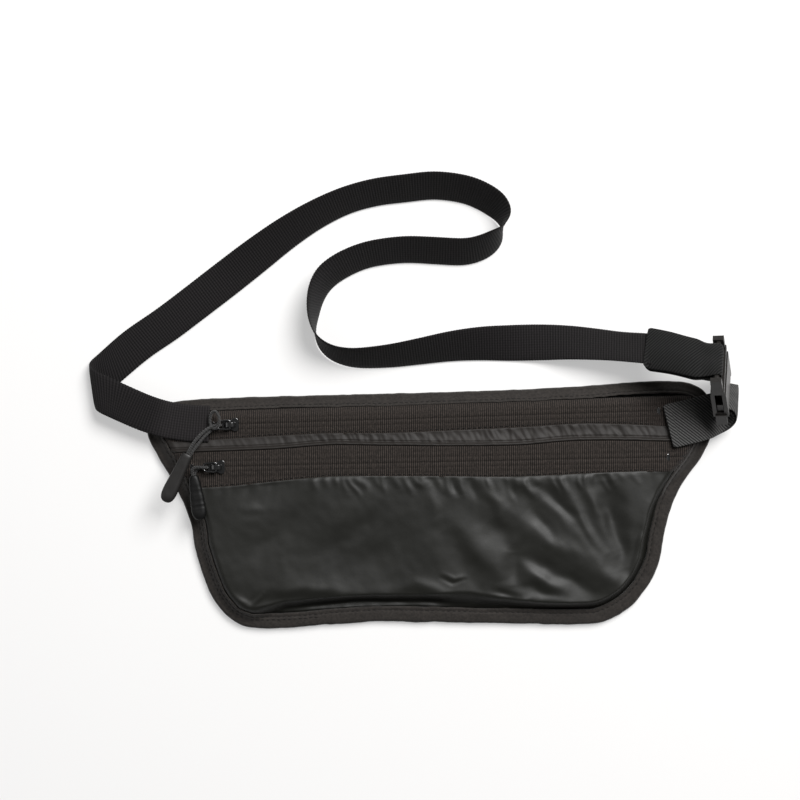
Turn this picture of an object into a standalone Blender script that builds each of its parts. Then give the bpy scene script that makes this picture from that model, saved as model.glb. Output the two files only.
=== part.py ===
"""Money belt: a flat two-zip pouch on its back, with an elastic waist strap and a side-release buckle.

Frame: origin at the centre of the underside of the back panel, +X along the belt, +Y to the top edge,
+Z out of the front. Metres in Blender; the sizes below are in millimetres and scaled by MM.
"""
import bmesh
import bpy
import math
from mathutils import Matrix, Vector

MM = 0.001
GAP = 0.3                      # clearance between pieces that touch

# Pouch
SHEET = 0.8                    # thickness of one layer of nylon
RIM_HEIGHT = 3.2               # height of the bound edge
UPPER_FLAT = 9.9               # height of the front along the upper zip
LOWER_FLAT = 11.4              # height of the front along the lower zip and below it
RIM_START, RIM_END = 2.0, 12.0  # the front climbs from the rim over this distance from the edge
BINDING_SIDE, BINDING_TOP = 8.5, 6.8
DIVIDER_HEIGHT = 5.6
OUTLINE = [                    # outer edge of the pouch, clockwise from its top left corner
    (-147, 57), (-125, 59.5), (-63, 61.5), (0, 63), (68, 65.5), (129, 69.4), (150, 66.5), (158.5, 56),
    (159, 42), (151, 25), (139, 7), (132, -15), (127.5, -36), (116, -54), (99, -65), (80, -67.2),
    (32, -66.6), (-30, -65.6), (-85, -69.3), (-108, -66.5), (-122, -52), (-131, -28), (-135, -8),
    (-145, 14), (-153, 28), (-158.5, 40), (-156, 51),
]

# Zips: a straight centre line for each, through the slider's closed place, and the ends of its coils
UPPER_SLIDER, UPPER_SLOPE, UPPER_ENDS = (-111.5, 45.0), 1.8, (-119.6, 126.0)
LOWER_SLIDER, LOWER_SLOPE, LOWER_ENDS = (-119.0, 21.5), 1.2, (-131.0, 131.0)
TAPE_OUTER, TAPE_INNER = 7.4, 2.45   # a tape's edges, from the zip's centre line
COIL_RADIUS, COIL_OFFSET = 0.7, 1.45
SLIDER_LENGTH, SLIDER_WIDTH = 9.5, 7.5
HINGE_HEIGHT = 2.9             # height of the pull tab's axis above the zip tape
TAB_REACH = 6.8                # from that axis to the bar that the cord hangs on
CORD_RADIUS = 0.8
GRIP_THICK, GRIP_WIDTH = 4.6, 8.2

# Strap and webbing
STRAP_WIDTH, STRAP_THICK = 20.4, 1.3
STRAP_FLARE = 0.25             # how far the upper edge leans out at the strap's two bends
BENDS_MIDDLE, BENDS_HALF = -12.0, 52.0   # x halfway between the bends, and the distance to each
WEBBING_WIDTH, WEBBING_THICK = 24.6, 1.4

# Buckle: l runs from the plug's bar to the socket's bar, w along the bars, n through the thickness
PLUG_BAR = Vector((155.3, 79.7, 37.4))
BUCKLE_W = Vector((-0.15, -0.78, 0.60)).normalized()
BUCKLE_L = Vector((0.23, -0.62, -0.75))
BUCKLE_L = (BUCKLE_L - BUCKLE_L.dot(BUCKLE_W) * BUCKLE_W).normalized()
BUCKLE_N = BUCKLE_L.cross(BUCKLE_W)
BAR_RADIUS, BAR_SPACING = 1.6, 32.5
SOCKET_BAR = PLUG_BAR + BAR_SPACING * BUCKLE_L

# The strap folds over at its left tip, round a crease
FOLD_RADIUS = 5.0
FOLD_MIDDLE = Vector((-182.8, 67.5, FOLD_RADIUS + STRAP_THICK / 2))
FOLD_CREASE, FOLD_OUT = math.radians(98), math.radians(40)   # directions of the crease and of the long run

SEWN_RUN = [                   # x, y, height of the lower edge, lean in degrees (0 is flat)
    (-123, 45.5, 10.3, 0), (-135, 46, 10.3, 0), (-148, 48.2, 10.3, 0), (-158, 51.4, 10.1, 0),
    (-167, 55.5, 10.0, 0), (-174.8, 59.3, 10.0, 0),
]
LONG_RUN = [
    (-176.2, 79.3, 0, 0), (-165, 89.2, 0, 0), (-148, 101.6, 0, 0), (-131.6, 114.0, 0, 0),
    (-114.8, 126.8, 0, 4), (-98, 139.4, 0, 18), (-81, 151.8, 0, 32), (-64.4, 162.1, 0, 43),
    (-47.6, 170, 0, 48), (-31, 174.7, 0, 48), (-14, 177, 0, 47), (2.8, 178.6, 0, 47), (19.6, 176.4, 0, 47),
    (30.8, 171.8, 0, 47), (37.5, 166.9, 0, 47), (40.9, 161, 0, 47), (40.6, 155, 0, 47), (37.5, 149.8, 0, 47),
    (30.8, 144.8, 0, 47), (19.6, 141.6, 0, 47), (2.8, 142.2, 0, 47), (-14, 142.8, 0, 48),
    (-31, 140.8, 0, 49), (-42, 137.5, 0, 49), (-51.5, 132.7, 0, 48), (-58.2, 127.4, 0, 47),
    (-62.2, 121, 0, 47), (-64.4, 113.7, 0, 47), (-65.2, 105.8, 0, 47), (-64.8, 98, 0, 50),
    (-61.8, 91, 0, 56), (-55.5, 85.6, 0, 60), (-47.6, 83, 0, 60), (-39.2, 82.2, 0, 58), (-22.4, 83.4, 0, 52),
    (-5.6, 86, 0, 45), (11.2, 88.8, 0, 36), (28, 90.4, 0, 25), (44.8, 90.8, 0, 12), (61.6, 91.2, 0.2, -6),
    (78.4, 91, 1.2, -20), (95, 89.8, 3.0, -30), (104, 88.8, 5.4, -34), (112, 88.0, 8.6, -34),
    (120.5, 87.2, 12.6, -32),
]
TAB_ROUTE = [                  # centre line of the webbing tab, from the strap's end to the plug's bar
    (122.8, 86.9, 20.0), (131, 85.2, 26.0), (140.5, 82.4, 33.4), (149.2, 80.3, 36.9),
]
STRAP_END_WIDTH = Vector((0.18, 0.88, -0.44))   # direction across the tab where the strap enters it
ANCHOR_ROUTE = [               # centre line of the anchor webbing, from its hem to the socket's bar
    (132.4, 44, 12.0), (140, 45.8, 12.0), (148, 47.7, 11.2), (156.5, 50.0, 8.4), (163, 52.2, 4.6),
    (168.4, 54.8, 5.4), (170.6, 57.6, 9.4), (168.2, 59.4, 12.6),
]
ANCHOR_WIDTHS = [              # direction across the webbing at those points
    (-0.23, 0.967, -0.08), (-0.23, 0.967, -0.08), (-0.21, 0.97, -0.08), (-0.12, 0.98, -0.1),
    (-0.02, 0.97, -0.22), (0.08, 0.94, -0.32), (0.12, 0.88, -0.45), (0.14, 0.8, -0.56),
]

for old in list(bpy.data.objects):
    bpy.data.objects.remove(old, do_unlink=True)
parts = bpy.data.collections.new("money_belt")
cutters = bpy.data.collections.new("cutters")
bpy.context.scene.collection.children.link(parts)
bpy.context.scene.collection.children.link(cutters)


def material(name, colour, roughness, metallic=0.0):
    mat = bpy.data.materials.new(name)
    mat.use_nodes = True
    shader = mat.node_tree.nodes["Principled BSDF"]
    shader.inputs["Base Color"].default_value = (*colour, 1.0)
    shader.inputs["Roughness"].default_value = roughness
    shader.inputs["Metallic"].default_value = metallic
    return mat


NYLON = material("coated_nylon", (0.028, 0.027, 0.025), 0.5)
BINDING = material("binding_tape", (0.036, 0.033, 0.030), 0.75)
ZIP_TAPE = material("zip_tape", (0.038, 0.035, 0.031), 0.8)
COIL = material("zip_coil", (0.02, 0.02, 0.02), 0.45)
METAL = material("black_metal", (0.03, 0.03, 0.03), 0.25, 0.9)
ELASTIC = material("elastic", (0.02, 0.019, 0.019), 0.85)
WEBBING = material("webbing", (0.035, 0.034, 0.033), 0.85)
CORD = material("cord", (0.03, 0.03, 0.03), 0.8)
RUBBER = material("rubber", (0.04, 0.038, 0.036), 0.6)
PLASTIC = material("plastic", (0.06, 0.055, 0.05), 0.4)


def add_object(name, mesh, mat, collection=parts):
    obj = bpy.data.objects.new(name, mesh)
    collection.objects.link(obj)
    mesh.materials.append(mat)
    return obj


def mesh_object(name, bm, mat, collection=parts):
    """Takes a bmesh in millimetres."""
    bmesh.ops.scale(bm, vec=(MM, MM, MM), verts=bm.verts)
    bmesh.ops.recalc_face_normals(bm, faces=bm.faces)
    mesh = bpy.data.meshes.new(name)
    bm.to_mesh(mesh)
    bm.free()
    return add_object(name, mesh, mat, collection)


def curve_to_mesh(name, curve, mat, collection=parts):
    """Turns a curve in millimetres into a welded mesh object."""
    guide = bpy.data.objects.new("guide", curve)
    bpy.context.scene.collection.objects.link(guide)
    graph = bpy.context.evaluated_depsgraph_get()
    mesh = bpy.data.meshes.new_from_object(guide.evaluated_get(graph))
    bpy.data.objects.remove(guide)
    bm = bmesh.new()
    bm.from_mesh(mesh)
    bpy.data.meshes.remove(mesh)
    bmesh.ops.remove_doubles(bm, verts=bm.verts, dist=0.01)
    return mesh_object(name, bm, mat, collection)


def smooth_points(points, steps, closed=False):
    """Catmull-Rom curve through tuples of any length, with a few steps between neighbours."""
    count = len(points)
    result = []
    for i in range(count if closed else count - 1):
        if closed:
            p0, p1, p2, p3 = (points[(i + k) % count] for k in (-1, 0, 1, 2))
        else:
            p0, p1, p2, p3 = (points[min(max(i + k, 0), count - 1)] for k in (-1, 0, 1, 2))
        for step in range(steps):
            t = step / steps
            result.append(tuple(
                0.5 * (2 * b + (c - a) * t + (2 * a - 5 * b + 4 * c - d) * t * t + (3 * b - a - 3 * c + d) * t ** 3)
                for a, b, c, d in zip(p0, p1, p2, p3)))
    if not closed:
        result.append(tuple(points[-1]))
    return result


def smoothstep(value):
    t = min(max(value, 0.0), 1.0)
    return t * t * (3 - 2 * t)


def outward(ring):
    """Unit normals of a clockwise ring of 2D points, pointing out of it."""
    normals = []
    for i in range(len(ring)):
        before, after = Vector(ring[i - 1]), Vector(ring[(i + 1) % len(ring)])
        along = (after - before).normalized()
        normals.append(Vector((-along.y, along.x)))
    return normals


def binding_width(normal):
    return BINDING_SIDE + (BINDING_TOP - BINDING_SIDE) * smoothstep(normal.y * 1.5 - 0.3)


EDGE = smooth_points(OUTLINE, 4, closed=True)
EDGE_NORMALS = outward(EDGE)
INNER_EDGE = [
    tuple(Vector(p) - n * (binding_width(n) + GAP)) for p, n in zip(EDGE, EDGE_NORMALS)]


def edge_distance(x, y):
    point = Vector((x, y))
    best = 1e9
    for i in range(len(EDGE)):
        a, b = Vector(EDGE[i - 1]), Vector(EDGE[i])
        t = min(max((point - a).dot(b - a) / (b - a).length_squared, 0.0), 1.0)
        best = min(best, (point - a.lerp(b, t)).length)
    return best


def upper_line(x):
    return UPPER_SLIDER[1] + (x - UPPER_SLIDER[0]) * math.tan(math.radians(UPPER_SLOPE))


def lower_line(x):
    return LOWER_SLIDER[1] + (x - LOWER_SLIDER[0]) * math.tan(math.radians(LOWER_SLOPE))


def front_height(x, y):
    """Height of the pouch's front over a point of its plan."""
    top, bottom = upper_line(x) - TAPE_OUTER - 0.5, lower_line(x) + TAPE_OUTER + 0.5
    flat = UPPER_FLAT + (LOWER_FLAT - UPPER_FLAT) * smoothstep((top - y) / (top - bottom))
    climb = smoothstep((edge_distance(x, y) - RIM_START) / (RIM_END - RIM_START))
    return RIM_HEIGHT + (flat - RIM_HEIGHT) * climb


def inner_reach(y):
    """Lowest and highest x of the space inside the binding at a height y of the plan."""
    crossings = []
    for i in range(len(INNER_EDGE)):
        a, b = INNER_EDGE[i - 1], INNER_EDGE[i]
        if (a[1] - y) * (b[1] - y) < 0:
            crossings.append(a[0] + (b[0] - a[0]) * (y - a[1]) / (b[1] - a[1]))
    return min(crossings) + 2 * GAP, max(crossings) - 2 * GAP


def bottom_line(x):
    """Lower edge of the space inside the binding."""
    x = min(max(x, -98.0), 86.0)
    crossings = []
    for i in range(len(INNER_EDGE)):
        a, b = INNER_EDGE[i - 1], INNER_EDGE[i]
        if (a[0] - x) * (b[0] - x) <= 0 and a[0] != b[0]:
            crossings.append(a[1] + (b[1] - a[1]) * (x - a[0]) / (b[0] - a[0]))
    return min(crossings) + 2 * GAP


def sheet(name, top, bottom, mat, height=None, columns=36, rows=2, left=None, right=None):
    """A layer between two lines of the plan, out to the binding, or to the ends given."""
    bm = bmesh.new()
    grid = bmesh.ops.create_grid(bm, x_segments=columns, y_segments=rows, size=1.0)["verts"]
    for vert in grid:
        across, along = (vert.co.x + 1) / 2, (1 - vert.co.y) / 2
        ends = []
        for side, given in ((0, left), (1, right)):
            x = (-120, 120)[side]
            for _ in range(6):
                y = (1 - along) * top(x) + along * bottom(x)
                x = given if given is not None else inner_reach(y)[side]
            ends.append(x)
        x = ends[0] + (ends[1] - ends[0]) * across
        y = (1 - along) * top(x) + along * bottom(x)
        vert.co = (x, y, front_height(x, y) if height is None else height)
    obj = mesh_object(name, bm, mat)
    if obj.data.polygons[0].normal.z < 0:
        obj.data.flip_normals()
    solid = obj.modifiers.new("thickness", "SOLIDIFY")
    solid.thickness = SHEET * MM
    solid.offset = -1.0
    return obj


def flat_plate(name, ring, low, high, mat):
    curve = bpy.data.curves.new(name, "CURVE")
    curve.dimensions = "2D"
    curve.fill_mode = "BOTH"
    curve.extrude = (high - low) / 2
    spline = curve.splines.new("POLY")
    spline.points.add(len(ring) - 1)
    for point, (x, y) in zip(spline.points, ring):
        point.co = (x, y, 0, 1)
    spline.use_cyclic_u = True
    obj = curve_to_mesh(name, curve, mat)
    obj.data.transform(Matrix.Translation((0, 0, (low + high) / 2 * MM)))
    return obj


def tube(name, points, radius, mat, closed=False, collection=parts):
    curve = bpy.data.curves.new(name, "CURVE")
    curve.dimensions = "3D"
    curve.bevel_depth = radius
    curve.bevel_resolution = 2
    curve.use_fill_caps = not closed
    spline = curve.splines.new("POLY")
    spline.points.add(len(points) - 1)
    for point, place in zip(spline.points, points):
        point.co = (*place, 1)
    spline.use_cyclic_u = closed
    return curve_to_mesh(name, curve, mat, collection)


def loft(name, sections, mat, closed=False):
    """A solid through rings of points, one ring after another."""
    bm = bmesh.new()
    rings = [[bm.verts.new(p) for p in section] for section in sections]
    pairs = list(zip(rings, rings[1:]))
    if closed:
        pairs.append((rings[-1], rings[0]))
    for ring, following in pairs:
        for k in range(len(ring)):
            bm.faces.new((ring[k - 1], ring[k], following[k], following[k - 1]))
    if not closed:
        bm.faces.new(rings[0])
        bm.faces.new(list(reversed(rings[-1])))
    return mesh_object(name, bm, mat)


def band_section(centre, across, normal, width, thick):
    """Four corners of a flat band's cross-section."""
    side, lift = across * (width / 2), normal * (thick / 2)
    return [centre - side - lift, centre + side - lift, centre + side + lift, centre - side + lift]


def block(name, size, matrix, mat, bevel=0.0, collection=parts):
    """A box with its size in millimetres, placed by a matrix in millimetres."""
    bm = bmesh.new()
    bmesh.ops.create_cube(bm, size=1.0, matrix=matrix @ Matrix.Diagonal((*size, 1.0)))
    obj = mesh_object(name, bm, mat, collection)
    if bevel:
        edge = obj.modifiers.new("edges", "BEVEL")
        edge.width = bevel * MM
        edge.segments = 2
    return obj


def boolean(obj, other, operation):
    """Joins or cuts with another object, which becomes a hidden cutter."""
    for collection in list(other.users_collection):
        collection.objects.unlink(other)
    cutters.objects.link(other)
    other.hide_render = True
    other.display_type = "WIRE"
    step = obj.modifiers.new(operation.lower(), "BOOLEAN")
    step.operation = operation
    step.object = other


def make_pouch():
    flat_plate("back_panel", INNER_EDGE, 0.0, SHEET, NYLON)
    sheet("divider_panel", lambda x: upper_line(x) - TAPE_OUTER - 1.5, bottom_line, NYLON,
          height=DIVIDER_HEIGHT + SHEET, columns=30, rows=10)
    sheet("middle_strip", lambda x: upper_line(x) - TAPE_OUTER - GAP, lambda x: lower_line(x) + TAPE_OUTER + GAP, NYLON)
    sheet("front_panel", lambda x: lower_line(x) - TAPE_OUTER - GAP, bottom_line, NYLON,
          columns=36, rows=12)

    sections = []
    for point, normal in zip(EDGE, EDGE_NORMALS):
        width = binding_width(normal)

        def at(distance, height=None):
            place = Vector(point) - normal * distance
            return Vector((*place, front_height(*place) if height is None else height))
        sections.append([at(0.8, 0.0), at(0.0, 1.0), at(0.4, 2.6), at(RIM_START), at(width * 0.6), at(width),
                         at(width, 0.0)])
    loft("edge_binding", sections, BINDING, closed=True)


def make_zip(name, line, slope, flat, left_end, right_end):
    """Tapes, coils and end stops of one zip."""
    sheet(name + "_zip_tape_top", lambda x: line(x) + TAPE_OUTER, lambda x: line(x) + TAPE_INNER, ZIP_TAPE, rows=3)
    sheet(name + "_zip_tape_bottom", lambda x: line(x) - TAPE_INNER, lambda x: line(x) - TAPE_OUTER, ZIP_TAPE, rows=1)
    height = flat - COIL_RADIUS + 0.2
    for side, word in ((1, "top"), (-1, "bottom")):
        ends = [(x, line(x) + side * COIL_OFFSET, height) for x in (left_end, right_end)]
        tube(f"{name}_zip_coil_{word}", ends, COIL_RADIUS, COIL)
    for x, word in ((left_end - 1.5, "left"), (right_end + 1.5, "right")):
        place = Matrix.Translation((x, line(x), height + 0.2)) @ Matrix.Rotation(math.radians(slope), 4, "Z")
        block(f"{name}_zip_stop_{word}", (1.8, 4.0, 1.4), place, METAL, bevel=0.3)


def make_slider(name, at, slope, flat, pull_route, grip_route):
    """Slider body, its pull tab, and the cord with its grip."""
    turn = Matrix.Rotation(math.radians(slope), 4, "Z")
    place = Matrix.Translation((*at, flat)) @ turn

    def box(label, size, centre, bevel=0.0):
        return block(label, size, place @ Matrix.Translation(centre), METAL, bevel)

    body = box(name + "_slider_body", (SLIDER_LENGTH, SLIDER_WIDTH, 0.9), (0, 0, 0.9))
    boolean(body, box(name + "_neck", (3.6, 0.8, 3.4), (2.6, 0, -0.6)), "UNION")
    boolean(body, box(name + "_lower_plate", (SLIDER_LENGTH, SLIDER_WIDTH - 0.8, 0.8), (0, 0, -2.0)), "UNION")
    boolean(body, box(name + "_crown", (6.4, 2.2, 3.0), (0, 0, 2.6)), "UNION")
    hole = [place @ Vector((0, y, HINGE_HEIGHT)) for y in (-3, 3)]
    boolean(body, tube(name + "_hole", hole, 0.95, METAL), "DIFFERENCE")
    edge = body.modifiers.new("edges", "BEVEL")
    edge.width = 0.25 * MM
    edge.segments = 1

    half = 2.3
    corners = [(0, half), (-TAB_REACH + 0.8, half), (-TAB_REACH, half - 0.8), (-TAB_REACH, 0.8 - half),
               (-TAB_REACH + 0.8, -half), (0, -half)]
    ring = [place @ Vector((x, y, HINGE_HEIGHT)) for x, y in corners]
    tube(name + "_pull_tab", ring, 0.6, METAL, closed=True)

    # The cord goes over the tab's end bar, down through the ring and back under the bar.
    wrap = 0.6 + GAP + CORD_RADIUS
    loop = []
    for degrees in (90, 45, 0, -45, -90):
        angle = math.radians(degrees)
        loop.append(tuple(place @ Vector((
            -TAB_REACH + wrap * math.cos(angle), 0.0, HINGE_HEIGHT + wrap * math.sin(angle)))))
    upper_run, lower_run = pull_route
    tube(name + "_pull_cord", smooth_points(upper_run + loop + lower_run, 3), CORD_RADIUS, CORD)

    start, end = Vector(grip_route[0]), Vector(grip_route[1])
    along = (end - start).normalized()
    across = Vector((0, 0, 1)).cross(along).normalized()
    sections = []
    length = (end - start).length
    for distance, width, thick in ((0, 0.62, 0.9), (0.04, 0.74, 1.0), (0.35, 0.9, 1.0), (0.7, 1.0, 1.0),
                                   (0.9, 0.86, 0.9), (0.97, 0.6, 0.7), (1.0, 0.3, 0.4)):
        centre = start + along * length * distance
        ring = []
        for k in range(12):
            angle = 2 * math.pi * k / 12
            side = math.copysign(abs(math.cos(angle)) ** 0.6, math.cos(angle)) * GRIP_WIDTH / 2 * width
            rise = math.copysign(abs(math.sin(angle)) ** 0.6, math.sin(angle)) * GRIP_THICK / 2 * thick
            ring.append(centre + across * side + Vector((0, 0, rise)))
        sections.append(ring)
    loft(name + "_pull_grip", sections, RUBBER)


def run_sections(points):
    """Sections of the strap along one run of it."""
    plan = [Vector((x, y, lift)) for x, y, lift, _ in points]
    sections = []
    for i, (x, y, lift, lean) in enumerate(points):
        along = (plan[min(i + 1, len(plan) - 1)] - plan[max(i - 1, 0)]).normalized()
        lean = math.radians(lean)
        flare = STRAP_FLARE * min(max((x - BENDS_MIDDLE) / BENDS_HALF, -1.0), 1.0) * max(math.sin(lean), 0.0)
        upright = Vector((flare, math.cos(lean), math.sin(lean)))
        level = Vector((along.x, along.y, 0.0))
        across = (upright - level * level.dot(upright)).normalized()
        centre = Vector((x, y, lift + STRAP_THICK / 2 + abs(across.z) * STRAP_WIDTH / 2))
        sections.append(band_section(centre, across, along.cross(across), STRAP_WIDTH, STRAP_THICK))
    return sections


def fold_sections(steps):
    """Sections round the fold, each lying along the crease, so the band winds on like a screw thread."""
    crease = Vector((math.cos(FOLD_CREASE), math.sin(FOLD_CREASE), 0.0))
    outside = Vector((-crease.y, crease.x, 0.0))
    up = Vector((0.0, 0.0, 1.0))
    pitch = FOLD_CREASE - FOLD_OUT
    sections = []
    for step in range(steps + 1):
        turn = math.pi * step / steps
        away = up * math.cos(turn) + outside * math.sin(turn)
        slip = FOLD_RADIUS * (turn - math.pi / 2) / math.tan(pitch)
        centre = FOLD_MIDDLE + away * FOLD_RADIUS + crease * slip
        sections.append(band_section(centre, crease, -away, STRAP_WIDTH / math.sin(pitch), STRAP_THICK))
    return sections


def strap_sections():
    sewn = run_sections(smooth_points(SEWN_RUN, 2))
    long_run = run_sections(smooth_points(LONG_RUN, 2))
    return sewn + fold_sections(8) + long_run


def webbing_loop(name, route, widths, bar, thick_start, end_width=WEBBING_WIDTH):
    """Webbing along a route and round a buckle's bar, as one thick band with the bar's hole in it."""
    stops = list(route) + [tuple(bar)]
    path = [Vector(p) for p in smooth_points(stops, 2)]
    across = [Vector(v).normalized() for v in smooth_points(list(widths) + [tuple(-BUCKLE_W)], 2)]
    along = (path[-1] - path[-2]).normalized()
    path.append(path[-1] + along * 3.0)
    across.append(across[-1])
    sections = []
    loop_thick = 2 * (BAR_RADIUS + GAP + WEBBING_THICK)
    for i, centre in enumerate(path):
        along = (path[min(i + 1, len(path) - 1)] - path[max(i - 1, 0)]).normalized()
        normal = along.cross(across[i]).normalized()
        away = (path[-2] - centre).length
        thick = thick_start + (loop_thick - thick_start) * smoothstep(1.2 - away / 6)
        if i == len(path) - 1:
            thick = loop_thick * 0.5
        width = WEBBING_WIDTH + (end_width - WEBBING_WIDTH) * smoothstep(1.6 - away / 8)
        sections.append(band_section(centre, across[i], normal, width, thick))
    band = loft(name, sections, WEBBING)
    hole = [bar - BUCKLE_W * 20, bar + BUCKLE_W * 20]
    boolean(band, tube(name + "_hole", hole, BAR_RADIUS + GAP, WEBBING), "DIFFERENCE")
    return band


def make_straps():
    loft("waist_strap", strap_sections(), ELASTIC)
    tab_widths = [STRAP_END_WIDTH.lerp(-BUCKLE_W, share) for share in (0.0, 0.35, 0.7, 0.9)]
    webbing_loop("strap_tab", TAB_ROUTE, [tuple(v) for v in tab_widths], PLUG_BAR, 3.6, end_width=21.0)
    webbing_loop("anchor_tab", ANCHOR_ROUTE, ANCHOR_WIDTHS, SOCKET_BAR, WEBBING_THICK, end_width=18.0)


def buckle_place(l_mm, w_mm=0.0, n_mm=0.0):
    """A frame at a place in the buckle, with x along l, y along w and z along n."""
    axes = Matrix((BUCKLE_L, BUCKLE_W, BUCKLE_N)).transposed().to_4x4()
    return Matrix.Translation(PLUG_BAR) @ axes @ Matrix.Translation((l_mm, w_mm, n_mm))


def bar_tube(name, l_mm, half):
    ends = [buckle_place(l_mm, w) @ Vector((0, 0, 0)) for w in (-half, half)]
    return tube(name, ends, BAR_RADIUS, PLASTIC)


def make_buckle():
    def box(name, low, high, bevel=0.0):
        size = [b - a for a, b in zip(low, high)]
        centre = [(a + b) / 2 for a, b in zip(low, high)]
        return block(name, size, buckle_place(*centre), PLASTIC, bevel)

    plug = box("buckle_plug", (5.6, -16.4, -3.6), (9.0, 16.4, 3.6))
    for side in (-1, 1):
        low, high = sorted((side * 13.2, side * 16.4))
        boolean(plug, box(f"plug_lug_{side}", (-2.4, low, -3.0), (6.0, high, 3.0)), "UNION")
    boolean(plug, bar_tube("plug_bar", 0.0, 14.5), "UNION")
    boolean(plug, box("plug_tongue", (8.5, -3.0, -1.2), (24.0, 3.0, 1.2)), "UNION")

    for side, word in ((1, "low"), (-1, "high")):
        low, high = sorted((side * 8.0, side * 10.0))
        prong = box(f"prong_{word}", (9.3, low, -1.6), (25.0, high, 1.6))
        low, high = sorted((side * 9.5, side * 14.4))
        boolean(prong, box(f"prong_head_{word}", (20.0, low, -1.6), (25.0, high, 1.6)), "UNION")

    socket = box("buckle_socket", (10.0, -15.4, -4.2), (29.0, 15.4, 4.2))
    boolean(socket, box("socket_hollow", (9.0, -13.6, -2.6), (25.8, 13.6, 2.6)), "DIFFERENCE")
    boolean(socket, box("socket_side_slots", (9.0, -17.0, -2.0), (25.8, 17.0, 2.0)), "DIFFERENCE")
    for side in (-1, 1):
        low, high = sorted((side * 13.2, side * 16.4))
        boolean(socket, box(f"socket_lug_{side}", (27.2, low, -3.0), (BAR_SPACING + 2.4, high, 3.0)), "UNION")
    boolean(socket, box("socket_strap_slot", (27.2, -13.2, -5.0), (29.5, 13.2, 5.0)), "DIFFERENCE")
    boolean(socket, bar_tube("socket_bar", BAR_SPACING, 14.5), "UNION")


UPPER_GRIP = [(-134.2, 28.4, 19.4), (-146.6, 2.6, 19.4)]
LOWER_GRIP = [(-131.2, 16.2, 14.2), (-127.6, -7.6, 14.2)]
UPPER_PULL = (
    [(-133.6, 30.2, 19.4), (-130.2, 36.0, 18.8), (-125.0, 41.6, 16.6), (-121.0, 44.2, 14.8)],
    [(-121.2, 42.4, 12.4), (-125.0, 39.0, 14.4), (-129.0, 34.0, 16.6), (-132.0, 29.6, 17.9)],
)
LOWER_PULL = (
    [(-131.9, 17.4, 15.0), (-132.0, 19.8, 15.8), (-130.6, 21.4, 16.0), (-128.4, 21.6, 16.0)],
    [(-127.6, 21.0, 12.7), (-129.2, 20.4, 12.8), (-130.4, 19.0, 13.0), (-130.8, 17.4, 13.2)],
)

make_pouch()
make_zip("upper", upper_line, UPPER_SLOPE, UPPER_FLAT, *UPPER_ENDS)
make_zip("lower", lower_line, LOWER_SLOPE, LOWER_FLAT, *LOWER_ENDS)
make_slider("upper", UPPER_SLIDER, UPPER_SLOPE, UPPER_FLAT, UPPER_PULL, UPPER_GRIP)
make_slider("lower", LOWER_SLIDER, LOWER_SLOPE, LOWER_FLAT, LOWER_PULL, LOWER_GRIP)
make_straps()
make_buckle()
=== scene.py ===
"""Looks of the money belt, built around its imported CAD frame.

Lengths here are in millimetres and are scaled by MM when a mesh is made, so they compare with the design.
"""
import math
import random

import bmesh
import bpy
import numpy as np
from mathutils import Matrix, Vector, noise


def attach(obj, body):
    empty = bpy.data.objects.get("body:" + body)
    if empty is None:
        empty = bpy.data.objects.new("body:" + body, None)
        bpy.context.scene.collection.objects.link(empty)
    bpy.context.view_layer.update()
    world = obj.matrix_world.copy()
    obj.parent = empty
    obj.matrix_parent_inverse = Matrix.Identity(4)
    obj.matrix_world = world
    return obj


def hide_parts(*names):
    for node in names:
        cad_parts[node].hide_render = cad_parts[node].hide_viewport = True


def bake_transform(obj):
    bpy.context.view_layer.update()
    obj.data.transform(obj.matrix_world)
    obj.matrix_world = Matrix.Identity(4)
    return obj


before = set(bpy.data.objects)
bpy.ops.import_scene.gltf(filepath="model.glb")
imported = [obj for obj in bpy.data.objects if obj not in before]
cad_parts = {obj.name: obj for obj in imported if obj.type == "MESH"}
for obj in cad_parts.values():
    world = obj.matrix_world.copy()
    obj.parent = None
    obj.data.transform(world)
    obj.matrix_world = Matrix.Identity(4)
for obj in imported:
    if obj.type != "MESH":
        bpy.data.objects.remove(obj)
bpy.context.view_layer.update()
MM = 0.001

# Only here
CAMERA_PLACE, CAMERA_LENS = (-0.0168, 0.0588, 1.006), 80.4   # metres from the origin; millimetres of lens
CLOTH = 0.35                   # thickness of the front's cloth
JOIN_X = -4.0                  # where the binding's two ends meet, on the bottom edge
STRAP_STEP, EDGE_EASING = 0.4, 90      # spacing of the strap's sections, and rounds of smoothing of its edges
RING_WIRE, RING_CLEARANCE = 0.6, 0.3   # radius of the pull ring's wire, and the cord's distance from it
CORD_IN_GRIP = 6.0             # how far each end of a cord runs on inside its grip
HITCH_MIDDLE, HITCH_HALF = (-119.7, 47.6, 15.0), (2.7, 4.8)
GRIP_HALF_WIDTH, GRIP_HALF_THICK = 4.2, 2.3
STITCH_SHAPE = ((0.0, 0.35, -0.25), (0.2, 0.9, 0.0), (0.5, 1.0, 0.08), (0.8, 0.9, 0.0), (1.0, 0.35, -0.25))

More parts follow.
